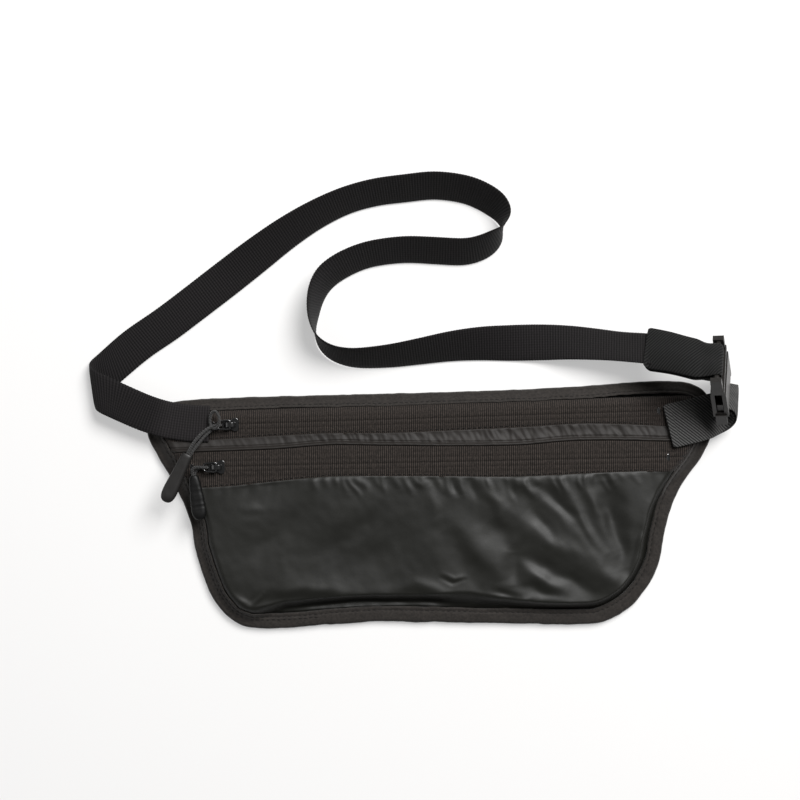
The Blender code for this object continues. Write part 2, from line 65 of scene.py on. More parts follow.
# Shared with the design
UPPER_FLAT, LOWER_FLAT, RIM_HEIGHT = 9.9, 11.4, 3.2
RIM_START, RIM_END = 2.0, 12.0
BINDING_SIDE, BINDING_TOP = 8.5, 6.8
TAPE_OUTER = 7.4
UPPER_SLIDER, UPPER_SLOPE = (-111.5, 45.0), 1.8
LOWER_SLIDER, LOWER_SLOPE = (-119.0, 21.5), 1.2
HINGE_HEIGHT, TAB_REACH = 2.9, 6.8
CORD_RADIUS = 0.8
STRAP_WIDTH, STRAP_THICK, STRAP_FLARE = 20.4, 1.3, 0.25
BENDS_MIDDLE, BENDS_HALF = -12.0, 52.0
WEBBING_WIDTH, WEBBING_THICK = 24.6, 1.4
PLUG_BAR = Vector((155.3, 79.7, 37.4))
BUCKLE_W = Vector((-0.15, -0.78, 0.60)).normalized()
BUCKLE_L = Vector((0.23, -0.62, -0.75))
BUCKLE_L = (BUCKLE_L - BUCKLE_L.dot(BUCKLE_W) * BUCKLE_W).normalized()
BAR_RADIUS, BAR_SPACING = 1.6, 32.5
SOCKET_BAR = PLUG_BAR + BAR_SPACING * BUCKLE_L

OUTLINE = [                    # outer edge of the pouch, clockwise from its top left corner
    (-147, 57), (-125, 59.5), (-63, 61.5), (0, 63), (68, 65.5), (129, 69.4), (150, 66.5), (158.5, 56),
    (159, 42), (151, 25), (139, 7), (132, -15), (127.5, -36), (116, -54), (99, -65), (80, -67.2),
    (32, -66.6), (-30, -65.6), (-85, -69.3), (-108, -66.5), (-122, -52), (-131, -28), (-135, -8),
    (-145, 14), (-153, 28), (-158.5, 40), (-156, 51),
]
FOLD_RADIUS = 5.0
FOLD_MIDDLE = Vector((-182.8, 67.5, FOLD_RADIUS + STRAP_THICK / 2))
FOLD_CREASE, FOLD_OUT = math.radians(98), math.radians(40)
SEWN_RUN = [                   # x, y, height of the lower edge, lean in degrees (0 is flat)
    (-123, 45.5, 10.3, 0), (-135, 46, 10.3, 0), (-148, 48.2, 10.3, 0), (-158, 51.4, 10.1, 0),
    (-167, 55.5, 10.0, 0), (-174.8, 59.3, 10.0, 0),
]
LONG_RUN = [
    (-176.2, 79.3, 0, 0), (-165, 89.2, 0, 0), (-148, 101.6, 0, 0), (-131.6, 114.0, 0, 0),
    (-114.8, 126.8, 0, 4), (-98, 139.4, 0, 18), (-81, 151.8, 0, 32), (-64.4, 162.1, 0, 43),
    (-47.6, 170, 0, 48), (-31, 174.7, 0, 48), (-14, 177, 0, 47), (2.8, 178.6, 0, 47), (19.6, 176.4, 0, 47),
    (30.8, 171.8, 0, 47), (37.5, 166.9, 0, 47), (40.9, 161, 0, 47), (40.6, 155, 0, 47), (37.5, 149.8, 0, 47),
    (30.8, 144.8, 0, 47), (19.6, 141.6, 0, 47), (2.8, 142.2, 0, 47), (-14, 142.8, 0, 48),
    (-31, 140.8, 0, 49), (-42, 137.5, 0, 49), (-51.5, 132.7, 0, 48), (-58.2, 127.4, 0, 47),
    (-62.2, 121, 0, 47), (-64.4, 113.7, 0, 47), (-65.2, 105.8, 0, 47), (-64.8, 98, 0, 50),
    (-61.8, 91, 0, 56), (-55.5, 85.6, 0, 60), (-47.6, 83, 0, 60), (-39.2, 82.2, 0, 58), (-22.4, 83.4, 0, 52),
    (-5.6, 86, 0, 45), (11.2, 88.8, 0, 36), (28, 90.4, 0, 25), (44.8, 90.8, 0, 12), (61.6, 91.2, 0.2, -6),
    (78.4, 91, 1.2, -20), (95, 89.8, 3.0, -30), (104, 88.8, 5.4, -34), (112, 88.0, 8.6, -34),
    (120.5, 87.2, 12.6, -32), (129, 85.6, 17.6, -31),
]
TAB_ROUTE = [                  # middle of the webbing tab, from its left edge to the plug's bar
    (122.8, 86.9, 20.0), (131, 85.2, 26.0), (140.5, 82.4, 33.4), (149.2, 80.3, 36.9),
]
STRAP_END_WIDTH = Vector((0.18, 0.88, -0.44))
TAB_END_WIDTH, ANCHOR_END_WIDTH = 21.0, 18.0
ANCHOR_ROUTE = [               # middle of the anchor webbing, from its hem to the socket's bar
    (132.4, 44, 12.0), (140, 45.8, 12.0), (148, 47.7, 11.2), (156.5, 50.0, 8.4), (163, 52.2, 4.6),
    (168.4, 54.8, 5.4), (170.6, 57.6, 9.4), (168.2, 59.4, 12.6),
]
ANCHOR_WIDTHS = [              # direction across the webbing at those points
    (-0.23, 0.967, -0.08), (-0.23, 0.967, -0.08), (-0.21, 0.97, -0.08), (-0.12, 0.98, -0.1),
    (-0.02, 0.97, -0.22), (0.08, 0.94, -0.32), (0.12, 0.88, -0.45), (0.14, 0.8, -0.56),
]
UPPER_GRIP = [(-134.2, 28.4, 19.4), (-146.6, 2.6, 19.4)]
LOWER_GRIP = [(-131.2, 16.2, 14.2), (-127.6, -7.6, 14.2)]
UPPER_PULL = (                 # the cord's two runs, from the grip to the pull tab and back
    [(-133.6, 30.2, 19.4), (-130.2, 36.0, 18.8), (-125.0, 41.6, 16.6), (-121.0, 44.2, 14.8)],
    [(-121.2, 42.4, 12.4), (-125.0, 39.0, 14.4), (-129.0, 34.0, 16.6), (-132.0, 29.6, 17.9)],
)
LOWER_PULL = (
    [(-131.9, 17.4, 15.0), (-132.0, 19.8, 15.8), (-130.6, 21.4, 16.0), (-128.4, 21.6, 16.0)],
    [(-127.6, 21.0, 12.7), (-129.2, 20.4, 12.8), (-130.4, 19.0, 13.0), (-130.8, 17.4, 13.2)],
)


# ---------------------------------------------------------------- camera, floor and light

def add_object(name, data):
    obj = bpy.data.objects.new(name, data)
    bpy.context.collection.objects.link(obj)
    return obj


def set_stage():
    scene = bpy.context.scene
    scene.view_settings.view_transform = "Standard"
    world = bpy.data.worlds.new("studio")
    scene.world = world
    world.use_nodes = True
    world.node_tree.nodes["Background"].inputs["Color"].default_value = (1.0, 1.0, 1.0, 1.0)
    backdrop = world.node_tree.nodes["Background"].inputs["Strength"]
    ray = world.node_tree.nodes.new("ShaderNodeLightPath")
    level = world.node_tree.nodes.new("ShaderNodeMapRange")
    level.inputs["To Min"].default_value = 0.14
    world.node_tree.links.new(ray.outputs["Is Camera Ray"], level.inputs["Value"])
    world.node_tree.links.new(level.outputs["Result"], backdrop)

    bpy.ops.mesh.primitive_plane_add(size=12.0, location=(0, 0, -0.0003))
    floor = bpy.context.object
    floor.name = "floor"
    paper = bpy.data.materials.new("white_paper")
    paper.use_nodes = True
    shader = paper.node_tree.nodes["Principled BSDF"]
    shader.inputs["Base Color"].default_value = (0.385, 0.38, 0.375, 1.0)
    shader.inputs["Roughness"].default_value = 0.9
    shader.inputs["Specular IOR Level"].default_value = 0.2
    shader.inputs["Emission Color"].default_value = (1.0, 1.0, 1.0, 1.0)
    shader.inputs["Emission Strength"].default_value = 0.42
    floor.data.materials.append(paper)

    def area(name, place, aim, size, power):
        data = bpy.data.lights.new(name, "AREA")
        data.shape = "DISK"
        data.size = size
        data.energy = power
        lamp = add_object(name, data)
        lamp.location = place
        lamp.rotation_euler = (Vector(aim) - Vector(place)).to_track_quat("-Z", "Y").to_euler()

    area("key", (0.66, 1.0, 1.42), (0.0, 0.05, 0.0), 1.15, 66.0)
    area("fill", (-1.5, 0.2, 1.3), (0.0, 0.05, 0.0), 1.6, 6.0)

    camera_data = bpy.data.cameras.new("camera")
    camera_data.lens = CAMERA_LENS
    camera_data.sensor_width = 36.0
    camera = add_object("camera", camera_data)
    camera.location = CAMERA_PLACE
    scene.camera = camera


# ---------------------------------------------------------------- geometry helpers

def smooth_points(points, steps, closed=False):
    """Catmull-Rom curve through tuples of any length, with a few steps between neighbours."""
    count = len(points)
    result = []
    for i in range(count if closed else count - 1):
        if closed:
            p0, p1, p2, p3 = (points[(i + k) % count] for k in (-1, 0, 1, 2))
        else:
            p0, p1, p2, p3 = (points[min(max(i + k, 0), count - 1)] for k in (-1, 0, 1, 2))
        for step in range(steps):
            t = step / steps
            result.append(tuple(
                0.5 * (2 * b + (c - a) * t + (2 * a - 5 * b + 4 * c - d) * t * t
                       + (3 * b - a - 3 * c + d) * t ** 3)
                for a, b, c, d in zip(p0, p1, p2, p3)))
    if not closed:
        result.append(tuple(points[-1]))
    return result


def spaced(points, spacing, closed=False):
    """The same line with points at an even spacing, judged on their first three values."""
    array = np.array(points, float)
    if closed:
        array = np.vstack([array, array[:1]])
    steps = np.linalg.norm(np.diff(array[:, :3], axis=0), axis=1)
    reach = np.concatenate([[0.0], np.cumsum(steps)])
    count = max(int(round(reach[-1] / spacing)), 2)
    places = np.linspace(0.0, reach[-1], count + 1)
    if closed:
        places = places[:-1]
    return np.stack([np.interp(places, reach, array[:, k]) for k in range(array.shape[1])], axis=1)


def ease(value):
    t = np.clip(value, 0.0, 1.0)
    return t * t * (3 - 2 * t)


def bell(value, width):
    """1 where value is zero, falling smoothly to 0.37 at width and to 0.02 at twice that."""
    return np.exp(-(value / width) ** 2)


def units(vectors):
    return vectors / np.linalg.norm(vectors, axis=1)[:, None]


def plan_noise(x, y, scale, seed=0.0, stretch=(1.0, 1.0)):
    """Smooth noise from -1 to 1 at plan points, with features of about that scale over the stretch."""
    offset = Vector((seed * 17.1, seed * 5.3, seed * 9.7))
    points = zip(np.ravel(x) * stretch[0], np.ravel(y) * stretch[1])
    values = [noise.noise(Vector((a, b, 0.0)) / scale + offset) for a, b in points]
    return np.array(values).reshape(np.shape(x))


def make_mesh(name, verts, faces, mat, uvs=None):
    """A mesh object from points in millimetres. uvs gives a pair for each vertex."""
    mesh = bpy.data.meshes.new(name)
    mesh.from_pydata([tuple(v) for v in np.asarray(verts, float) * MM], [], faces)
    mesh.validate()
    if uvs is not None:
        layer = mesh.uv_layers.new(name="surface")
        index = np.zeros(len(mesh.loops), dtype=np.int32)
        mesh.loops.foreach_get("vertex_index", index)
        layer.data.foreach_set("uv", np.asarray(uvs, float)[index].astype(np.float32).ravel())
    mesh.materials.append(mat)
    mesh.shade_smooth()
    return add_object(name, mesh)


def grid_faces(rows, columns, wrap_rows=False, wrap_columns=False):
    faces = []
    for i in range(rows if wrap_rows else rows - 1):
        here, following = i * columns, (i + 1) % rows * columns
        for j in range(columns if wrap_columns else columns - 1):
            side = (j + 1) % columns
            faces.append((here + j, here + side, following + side, following + j))
    return faces


def tube_faces(count, sides):
    """Faces of a number of rings of points in a row, with a cap at each end."""
    caps = [tuple(reversed(range(sides))), tuple(range((count - 1) * sides, count * sides))]
    return grid_faces(count, sides, wrap_columns=True) + caps


def closed_loft(name, rings, mat, uvs=None, wrap=False):
    """A closed solid through rings of points. rings is an array of rings by points by 3."""
    rings = np.asarray(rings, float)
    count, sides = rings.shape[:2]
    faces = grid_faces(count, sides, wrap_rows=True, wrap_columns=True) if wrap else tube_faces(count, sides)
    obj = make_mesh(name, rings.reshape(-1, 3), faces, mat, uvs)
    face_out(obj)
    return obj


def face_out(obj):
    bm = bmesh.new()
    bm.from_mesh(obj.data)
    bmesh.ops.recalc_face_normals(bm, faces=bm.faces)
    bm.to_mesh(obj.data)
    bm.free()


def ribbon(name, route, across, width, thick, mat, columns=10, rib=None, droop=None):
    """A woven band: route and across are arrays of points and unit directions along it.

    width and thick may be numbers or arrays along it. rib(s, u) gives how far the surface stands proud, where
    s is the distance along the band and u runs from -1 to 1 across it. droop(s, u) moves the whole band along
    its normal.
    """
    route, across = np.asarray(route, float), units(np.asarray(across, float))
    normal = units(np.cross(units(np.gradient(route, axis=0)), across))
    count = len(route)
    s = np.concatenate([[0.0], np.cumsum(np.linalg.norm(np.diff(route, axis=0), axis=1))])
    width = np.broadcast_to(np.asarray(width, float), (count,))
    thick = np.broadcast_to(np.asarray(thick, float), (count,))
    u = np.linspace(-1.0, 1.0, columns)
    edge = (1.0 - np.abs(u) ** 6 * 0.75)
    rings, uvs = [], []
    for side in (1, -1):
        line = u if side == 1 else u[::-1]
        shape = edge if side == 1 else edge[::-1]
        proud = np.zeros((count, columns))
        if rib is not None:
            proud = rib(s[:, None], line[None, :])
        half = side * (thick[:, None] / 2 * shape[None, :] + proud * shape[None, :])
        if droop is not None:
            half = half + droop(s[:, None], line[None, :])
        points = (route[:, None, :] + across[:, None, :] * (width[:, None, None] / 2 * line[None, :, None])
                  + normal[:, None, :] * half[:, :, None])
        rings.append(points)
        uvs.append(np.stack([np.broadcast_to(s[:, None], (count, columns)),
                             width[:, None] / 2 * line[None, :]], axis=2))
    rings = np.concatenate(rings, axis=1)
    uvs = np.concatenate(uvs, axis=1).reshape(-1, 2)
    return closed_loft(name, rings, mat, uvs)


def stitches(name, lines, mat, length=2.0, gap=0.9, radius=0.2, lift=0.12):
    """Short threads lying along lines of points, one after another, each a small closed spindle."""
    verts, faces = [], []
    sides, fine = 6, 0.25
    spindle = tube_faces(len(STITCH_SHAPE), sides)
    for line in lines:
        line = spaced(line, fine)
        step = int(round((length + gap) / fine))
        reach = int(round(length / fine))
        for start in range(0, len(line) - reach, step):
            a, b = Vector(line[start][:3]), Vector(line[start + reach][:3])
            along = (b - a).normalized()
            side = along.cross(Vector((0, 0, 1))).normalized()
            up = side.cross(along)
            base = len(verts)
            for t, r, rise in STITCH_SHAPE:
                centre = a.lerp(b, t) + up * (lift + rise * radius * 2)
                for k in range(sides):
                    angle = 2 * math.pi * k / sides
                    verts.append(centre + (side * math.cos(angle) + up * math.sin(angle)) * radius * r)
            faces += [tuple(base + k for k in face) for face in spindle]
    obj = make_mesh(name, [tuple(v) for v in verts], faces, mat)
    face_out(obj)
    return obj


def wire(name, points, radius, mat, resolution, closed=False):
    """A round wire or cord along points in millimetres, as a curve object."""
    curve = bpy.data.curves.new(name, "CURVE")
    curve.dimensions = "3D"
    curve.bevel_depth = radius * MM
    curve.bevel_resolution = resolution
    curve.use_fill_caps = not closed
    spline = curve.splines.new("POLY")
    spline.points.add(len(points) - 1)
    for point, spot in zip(spline.points, points):
        point.co = (*[c * MM for c in spot], 1)
    spline.use_cyclic_u = closed
    curve.materials.append(mat)
    return add_object(name, curve)


# ---------------------------------------------------------------- the pouch's form

EDGE = spaced(smooth_points(OUTLINE, 12, closed=True), 1.0, closed=True)[:, :2]


def ring_normals(ring):
    along = units(np.roll(ring, -1, axis=0) - np.roll(ring, 1, axis=0))
    return np.stack([-along[:, 1], along[:, 0]], axis=1)


EDGE_NORMALS = ring_normals(EDGE)
BINDING_WIDTH = BINDING_SIDE + (BINDING_TOP - BINDING_SIDE) * ease(EDGE_NORMALS[:, 1] * 1.5 - 0.3)
INNER_EDGE = EDGE - EDGE_NORMALS * (BINDING_WIDTH + 0.1)[:, None]


def edge_distance(x, y):
    """Distance of plan points from the pouch's outer edge."""
    points = np.stack([np.ravel(x), np.ravel(y)], axis=1)
    best = np.full(len(points), 1e9)
    for start in range(0, len(points), 4000):
        part = points[start:start + 4000]
        gaps = np.linalg.norm(part[:, None, :] - EDGE[None, :, :], axis=2)
        best[start:start + 4000] = gaps.min(axis=1)
    return best.reshape(np.shape(x))


def upper_line(x):
    return UPPER_SLIDER[1] + (x - UPPER_SLIDER[0]) * math.tan(math.radians(UPPER_SLOPE))


def lower_line(x):
    return LOWER_SLIDER[1] + (x - LOWER_SLIDER[0]) * math.tan(math.radians(LOWER_SLOPE))


def interpolated(x, knots):
    """A value along x that passes smoothly through a few knots."""
    places, values = zip(*knots)
    return np.interp(x, *np.array(smooth_points(list(zip(places, values)), 6)).T)


def upper_top(x):
    """Where the upper zip's tape meets the binding above it."""
    return upper_line(x) + TAPE_OUTER + 0.6


def upper_low(x):
    """Where the upper zip's tape ends on the middle strip."""
    sway = ((-135, -1.0), (-88, 0.4), (-56, 1.1), (-28, 0.2), (10, 0.4), (49, 1.0), (88, 2.0), (130, -0.8))
    return upper_line(x) - TAPE_OUTER + interpolated(x, sway)


def lower_top(x):
    """The welt above the lower zip, which sways along its length."""
    sway = ((-135, 1.0), (-88, 1.8), (-56, 3.5), (-28, 2.7), (10, 1.5), (49, 1.2), (76, 2.9), (100, 2.9),
            (130, 1.6))
    return lower_line(x) + TAPE_OUTER + interpolated(x, sway)


def lower_low(x):
    """The seam between the lower zip's tape and the front panel."""
    sway = ((-135, -4.2), (-112, -3.4), (-88, -1.4), (-56, 0.8), (-28, 0.5), (10, -0.4), (49, -1.4),
            (100, -0.1), (130, 0.2))
    return lower_line(x) - TAPE_OUTER + interpolated(x, sway)


def front_height(x, y):
    """Height of the pouch's front. Along the bottom and lower right the rim lies flat before it climbs."""
    top, bottom = upper_line(x) - TAPE_OUTER - 0.5, lower_line(x) + TAPE_OUTER + 0.5
    flat = UPPER_FLAT + (LOWER_FLAT - UPPER_FLAT) * ease((top - y) / (top - bottom))
    # side and below run from 0 to 1 where the rim lies flatter: along the lower edge and higher up at the right,
    # and more along the left half of the bottom. Both fade out towards the lower left corner.
    side_top = -2.0 + 25.0 * ease((x + 60.0) / 120.0)
    away_from_corner = 1.0 - 0.95 * ease((-78.0 - x) / 26.0)
    side = ease((side_top - y) / 28.0) * away_from_corner
    below = ease((-36.0 - y) / 14.0) * ease((24.0 - x) / 30.0) * away_from_corner
    start = RIM_START + 6.5 * side + 1.8 * below
    end = RIM_END + side * (7.5 - 6.0 * ease((x - 10.0) / 60.0)) - 3.0 * below
    climb = ease((edge_distance(x, y) - start) / (end - start))
    return RIM_HEIGHT + (flat - RIM_HEIGHT) * climb


def reach_at(y):
    """Lowest and highest x inside the binding at heights y of the plan."""
    lows, highs = [], []
    following = np.roll(INNER_EDGE, -1, axis=0)
    for level in np.atleast_1d(y):
        crossing = (INNER_EDGE[:, 1] - level) * (following[:, 1] - level) < 0
        a, b = INNER_EDGE[crossing], following[crossing]
        x = a[:, 0] + (b[:, 0] - a[:, 0]) * (level - a[:, 1]) / (b[:, 1] - a[:, 1])
        lows.append(x.min())
        highs.append(x.max())
    return np.array(lows), np.array(highs)


def bottom_line(x):
    """Lower edge of the space inside the binding, where it runs along the pouch's bottom."""
    below = INNER_EDGE[INNER_EDGE[:, 1] < -40]
    order = np.argsort(below[:, 0])
    return np.interp(np.clip(x, -98, 86), below[order, 0], below[order, 1])


def plan_grid(top, bottom, columns, rows):
    """Plan points between two lines, out to the binding at both ends, as arrays of rows by columns."""
    share = np.linspace(0.0, 1.0, rows)[:, None]
    left, right = np.full((rows, 1), -120.0), np.full((rows, 1), 120.0)
    for _ in range(8):
        ends = []
        for x in (left, right):
            y = (1 - share) * top(x) + share * bottom(x)
            ends.append(y[:, 0])
        left = reach_at(ends[0])[0][:, None]
        right = reach_at(ends[1])[1][:, None]
    x = left + (right - left) * np.linspace(0.0, 1.0, columns)[None, :]
    y = (1 - share) * top(x) + share * bottom(x)
    return x, y


def crease(x, y, points, width, height):
    """A fold of cloth along a line of points: a rounded ridge, or a valley where height is negative."""
    lengths = [math.dist(a, b) for a, b in zip(points, points[1:])]
    nearest = np.full(np.shape(x), 1e9)
    share = np.zeros(np.shape(x))
    done = 0.0
    for (ax, ay), (bx, by), length in zip(points, points[1:], lengths):
        dx, dy = bx - ax, by - ay
        near = np.clip(((x - ax) * dx + (y - ay) * dy) / (length * length), 0.0, 1.0)
        away = np.hypot(x - ax - near * dx, y - ay - near * dy)
        closer = away < nearest
        nearest = np.where(closer, away, nearest)
        share = np.where(closer, (done + near * length) / sum(lengths), share)
        done += length
    taper = np.sin(np.pi * (0.12 + 0.76 * share))
    return height * bell(nearest, width) * taper


def cloth_sheet(name, x, y, z, thick, mat):
    """A thin closed layer whose upper surface is the grid given, with UVs in millimetres."""
    rows, columns = x.shape
    top = np.stack([x, y, z], axis=2).reshape(-1, 3)
    bottom = top - np.array([0, 0, thick])
    total = rows * columns
    faces = [tuple(reversed(f)) for f in grid_faces(rows, columns)]
    faces += [tuple(k + total for k in reversed(f)) for f in faces]
    rim = ([j for j in range(columns)] + [i * columns + columns - 1 for i in range(1, rows)]
           + [(rows - 1) * columns + j for j in range(columns - 2, -1, -1)]
           + [i * columns for i in range(rows - 2, 0, -1)])
    for a, b in zip(rim, rim[1:] + rim[:1]):
        faces.append((a, b, b + total, a + total))
    verts = np.vstack([top, bottom])
    obj = make_mesh(name, verts, faces, mat, verts[:, :2])
    face_out(obj)
    return obj


def thin_sheet(name, x, y, z, thick, mat):
    """A closed layer with a fine upper surface and a plain underside between its two long edges."""
    rows, columns = x.shape
    top = np.stack([x, y, z], axis=2).reshape(-1, 3)
    total = rows * columns
    last = total - columns
    under = np.vstack([top[:columns], top[last:]]) - np.array([0, 0, thick])
    faces = [tuple(reversed(f)) for f in grid_faces(rows, columns)]
    for j in range(columns - 1):
        faces.append((j, j + 1, total + j + 1, total + j))
        faces.append((last + j, total + columns + j, total + columns + j + 1, last + j + 1))
        faces.append((total + j, total + j + 1, total + columns + j + 1, total + columns + j))
    for j in (0, columns - 1):
        faces.append(tuple(i * columns + j for i in range(rows)) + (total + columns + j, total + j))
    verts = np.vstack([top, under])
    obj = make_mesh(name, verts, faces, mat, verts[:, :2])
    face_out(obj)
    return obj


# ---------------------------------------------------------------- materials

class Finish:
    """A material with short ways to add and join its shader nodes."""

    def __init__(self, name, colour, roughness, **settings):
        self.colour = colour
        self.mat = bpy.data.materials.new(name)
        self.mat.use_nodes = True
        self.tree = self.mat.node_tree
        self.shader = self.tree.nodes["Principled BSDF"]
        self.shader.inputs["Base Color"].default_value = (*colour, 1.0)
        self.shader.inputs["Roughness"].default_value = roughness
        sockets = {"sheen": "Sheen Weight", "specular": "Specular IOR Level", "coat": "Coat Weight"}
        for setting, value in settings.items():
            self.shader.inputs[sockets[setting]].default_value = value

    def add(self, kind, inputs=None, **settings):
        node = self.tree.nodes.new(kind)
        for key, value in settings.items():
            setattr(node, key, value)
        for key, value in (inputs or {}).items():
            if isinstance(value, bpy.types.NodeSocket):
                self.tree.links.new(value, node.inputs[key])
            else:
                node.inputs[key].default_value = value
        return node

    def link(self, output, socket):
        self.tree.links.new(output, self.shader.inputs[socket])

    def math(self, operation, a, b=0.0):
        return self.add("ShaderNodeMath", {0: a, 1: b}, operation=operation).outputs[0]

    def place(self):
        return self.add("ShaderNodeTexCoord").outputs["Object"]

    def surface(self):
        return self.add("ShaderNodeUVMap", uv_map="surface").outputs["UV"]

    def noise(self, vector, scale, detail=2.0):
        node = self.add("ShaderNodeTexNoise", {"Vector": vector, "Scale": scale, "Detail": detail})
        return node.outputs["Fac"]

    def wave(self, vector, scale, direction="X", distortion=0.0, turn=0.0):
        if turn:
            vector = self.add("ShaderNodeVectorRotate", {"Vector": vector, "Angle": turn},
                              rotation_type="Z_AXIS").outputs[0]
        node = self.add("ShaderNodeTexWave", {"Vector": vector, "Scale": scale, "Distortion": distortion},
                        wave_type="BANDS", bands_direction=direction)
        return node.outputs["Fac"]

    def shade(self, factor, low, high):
        """Base colour between two brightnesses of the material's colour."""
        dark = tuple(c * low for c in self.colour) + (1.0,)
        light = tuple(c * high for c in self.colour) + (1.0,)
        mix = self.add("ShaderNodeMix", {0: factor, 6: dark, 7: light}, data_type="RGBA")
        self.link(mix.outputs[2], "Base Color")

    def vary_roughness(self, factor, low, high):
        node = self.add("ShaderNodeMapRange", {0: factor, 3: low, 4: high})
        self.link(node.outputs[0], "Roughness")

    def bump(self, height, strength, distance):
        node = self.add("ShaderNodeBump", {"Height": height, "Strength": strength, "Distance": distance})
        self.link(node.outputs[0], "Normal")


# A wave texture repeats 20 / (2 pi) times for each unit of its vector at scale 1.
WAVES_PER_UNIT = 20 / (2 * math.pi)
TWILL_PERIOD, TWILL_ANGLE = 1.35, math.radians(40)
ELASTIC_RIB = 1.5
KNIT_PERIOD = 1.16


def wave_scale(period):
    return 1.0 / (period * WAVES_PER_UNIT)


def nylon_material():
    n = Finish("coated_nylon", (0.0050, 0.0050, 0.0036), 0.5, specular=0.33)
    place = n.place()
    n.shade(n.noise(place, 55.0, 4.0), 0.7, 1.35)
    n.vary_roughness(n.noise(place, 160.0, 3.0), 0.47, 0.58)
    warp = n.wave(place, wave_scale(0.00045), "X")
    weft = n.wave(place, wave_scale(0.00045), "Y")
    weave = n.math("MAXIMUM", warp, weft)
    crinkle = n.noise(place, 420.0, 4.0)
    height = n.math("ADD", n.math("MULTIPLY", weave, 0.25), crinkle)
    n.bump(height, 0.3, 0.00012)
    return n.mat


def binding_material():
    n = Finish("binding_tape", (0.0130, 0.0110, 0.0096), 0.75, specular=0.18, sheen=0.1)
    place = n.place()
    n.shade(n.noise(place, 900.0, 4.0), 0.1, 2.5)
    warp = n.wave(place, wave_scale(0.0007), "X")
    weft = n.wave(place, wave_scale(0.0007), "Y")
    height = n.math("ADD", n.math("MULTIPLY", warp, weft), n.math("MULTIPLY", n.noise(place, 900.0), 0.8))
    n.bump(height, 0.5, 0.00022)
    return n.mat


def tape_material():
    n = Finish("zip_tape", (0.0145, 0.0115, 0.0098), 0.8, specular=0.12, sheen=0.08)
    place = n.place()
    ribs = n.wave(place, wave_scale(KNIT_PERIOD * MM), "X", distortion=1.2)
    # Painted light and shade: the ribs, in step with the knit ribs of the zip's surface, make the tape lighter
    # on each rib and darker in the gaps between, times the tape's own uneven tone.
    n.shade(n.math("MULTIPLY", ribs, n.noise(place, 900.0, 3.0)), 0.12, 4.2)
    n.bump(n.math("ADD", ribs, n.noise(place, 2000.0)), 0.5, 0.00012)
    return n.mat


def strip_material():
    n = Finish("gathered_strip", (0.0125, 0.0105, 0.0092), 0.6, specular=0.22)
    place = n.place()
    n.shade(n.noise(place, 260.0, 4.0), 0.7, 1.35)
    n.vary_roughness(n.noise(place, 160.0, 3.0), 0.52, 0.66)
    n.bump(n.noise(place, 700.0, 3.0), 0.3, 0.00015)
    return n.mat


def elastic_material():
    n = Finish("elastic", (0.0060, 0.0053, 0.0055), 0.8, specular=0.12, sheen=0.05)
    surface = n.surface()
    warp = n.wave(surface, wave_scale(1.45), "Y")
    weft = n.wave(surface, wave_scale(ELASTIC_RIB), "X")
    # Painted light and shade: the weft ribs, in step with the ribs of the strap's surface, make the elastic
    # lighter on each rib and darker in the grooves; the lengthwise warp lines and the noise are its own pattern
    # and uneven tone.
    knit = n.math("ADD", n.math("MULTIPLY", weft, 0.7), n.math("MULTIPLY", warp, 0.3))
    # Painted light: the first 24 mm of the elastic, on its sewn end, is made lighter, fading out by 33 mm.
    sewn_end_painted_light = n.add("ShaderNodeMapRange", {0: n.add("ShaderNodeSeparateXYZ", {0: surface}).outputs[0],
                                             1: 24.0, 2: 33.0, 3: 0.25, 4: 0.0}).outputs[0]
    n.shade(n.math("ADD", n.math("MULTIPLY", knit, n.noise(surface, 1.4, 3.0)), sewn_end_painted_light), 0.2, 3.6)
    n.bump(n.math("ADD", n.math("MULTIPLY", warp, 0.5), weft), 0.5, 0.00022)
    return n.mat


def webbing_material(name, colour, specular):
    n = Finish(name, colour, 0.8, specular=specular, sheen=0.04)
    surface = n.surface()
    twill = n.wave(surface, wave_scale(TWILL_PERIOD), "X", turn=-TWILL_ANGLE)
    uneven = n.noise(surface, 1.2, 3.0)
    # Painted light and shade: the twill, in step with the twill ridges of the webbing's surface, makes it
    # lighter on each ridge and darker in the grooves, times the webbing's own uneven tone.
    n.shade(n.math("MULTIPLY", twill, n.math("ADD", uneven, 0.35)), 0.22, 3.7)
    n.bump(n.math("ADD", twill, n.math("MULTIPLY", n.noise(surface, 3.0), 0.5)), 0.6, 0.0003)
    return n.mat


def thread_material():
    # Painted shade: the thread is set darker than the binding it sews, standing in for the shadow of the needle
    # holes along each stitch.
    n = Finish("thread", (0.0050, 0.0045, 0.0042), 0.7, specular=0.2)
    n.shade(n.noise(n.place(), 900.0), 0.6, 1.6)
    return n.mat


def cord_material():
    n = Finish("cord", (0.0112, 0.0108, 0.0105), 0.7, specular=0.35, sheen=0.2)
    place = n.place()
    one = n.wave(place, wave_scale(0.0008), "DIAGONAL")
    n.shade(n.math("MULTIPLY", one, n.noise(place, 1500.0)), 0.6, 2.2)
    n.bump(one, 0.5, 0.0002)
    return n.mat


def rubber_material(name, colour, specular):
    n = Finish(name, colour, 0.46, specular=specular)
    place = n.place()
    n.vary_roughness(n.noise(place, 400.0, 3.0), 0.4, 0.55)
    n.shade(n.noise(place, 200.0, 3.0), 0.8, 1.25)
    n.bump(n.noise(place, 2600.0), 0.2, 0.00012)
    return n.mat


def metal_material():
    n = Finish("black_metal", (0.0040, 0.0040, 0.0042), 0.2, specular=0.7, coat=0.5)
    place = n.place()
    n.vary_roughness(n.noise(place, 700.0, 3.0), 0.14, 0.3)
    n.bump(n.noise(place, 1200.0), 0.08, 0.0001)
    return n.mat


def plastic_material():
    n = Finish("buckle_plastic", (0.0085, 0.0074, 0.0066), 0.36, specular=0.4)
    place = n.place()
    n.vary_roughness(n.noise(place, 500.0, 3.0), 0.3, 0.46)
    n.shade(n.noise(place, 240.0, 3.0), 0.8, 1.25)
    n.bump(n.noise(place, 3000.0), 0.12, 0.0001)
    return n.mat


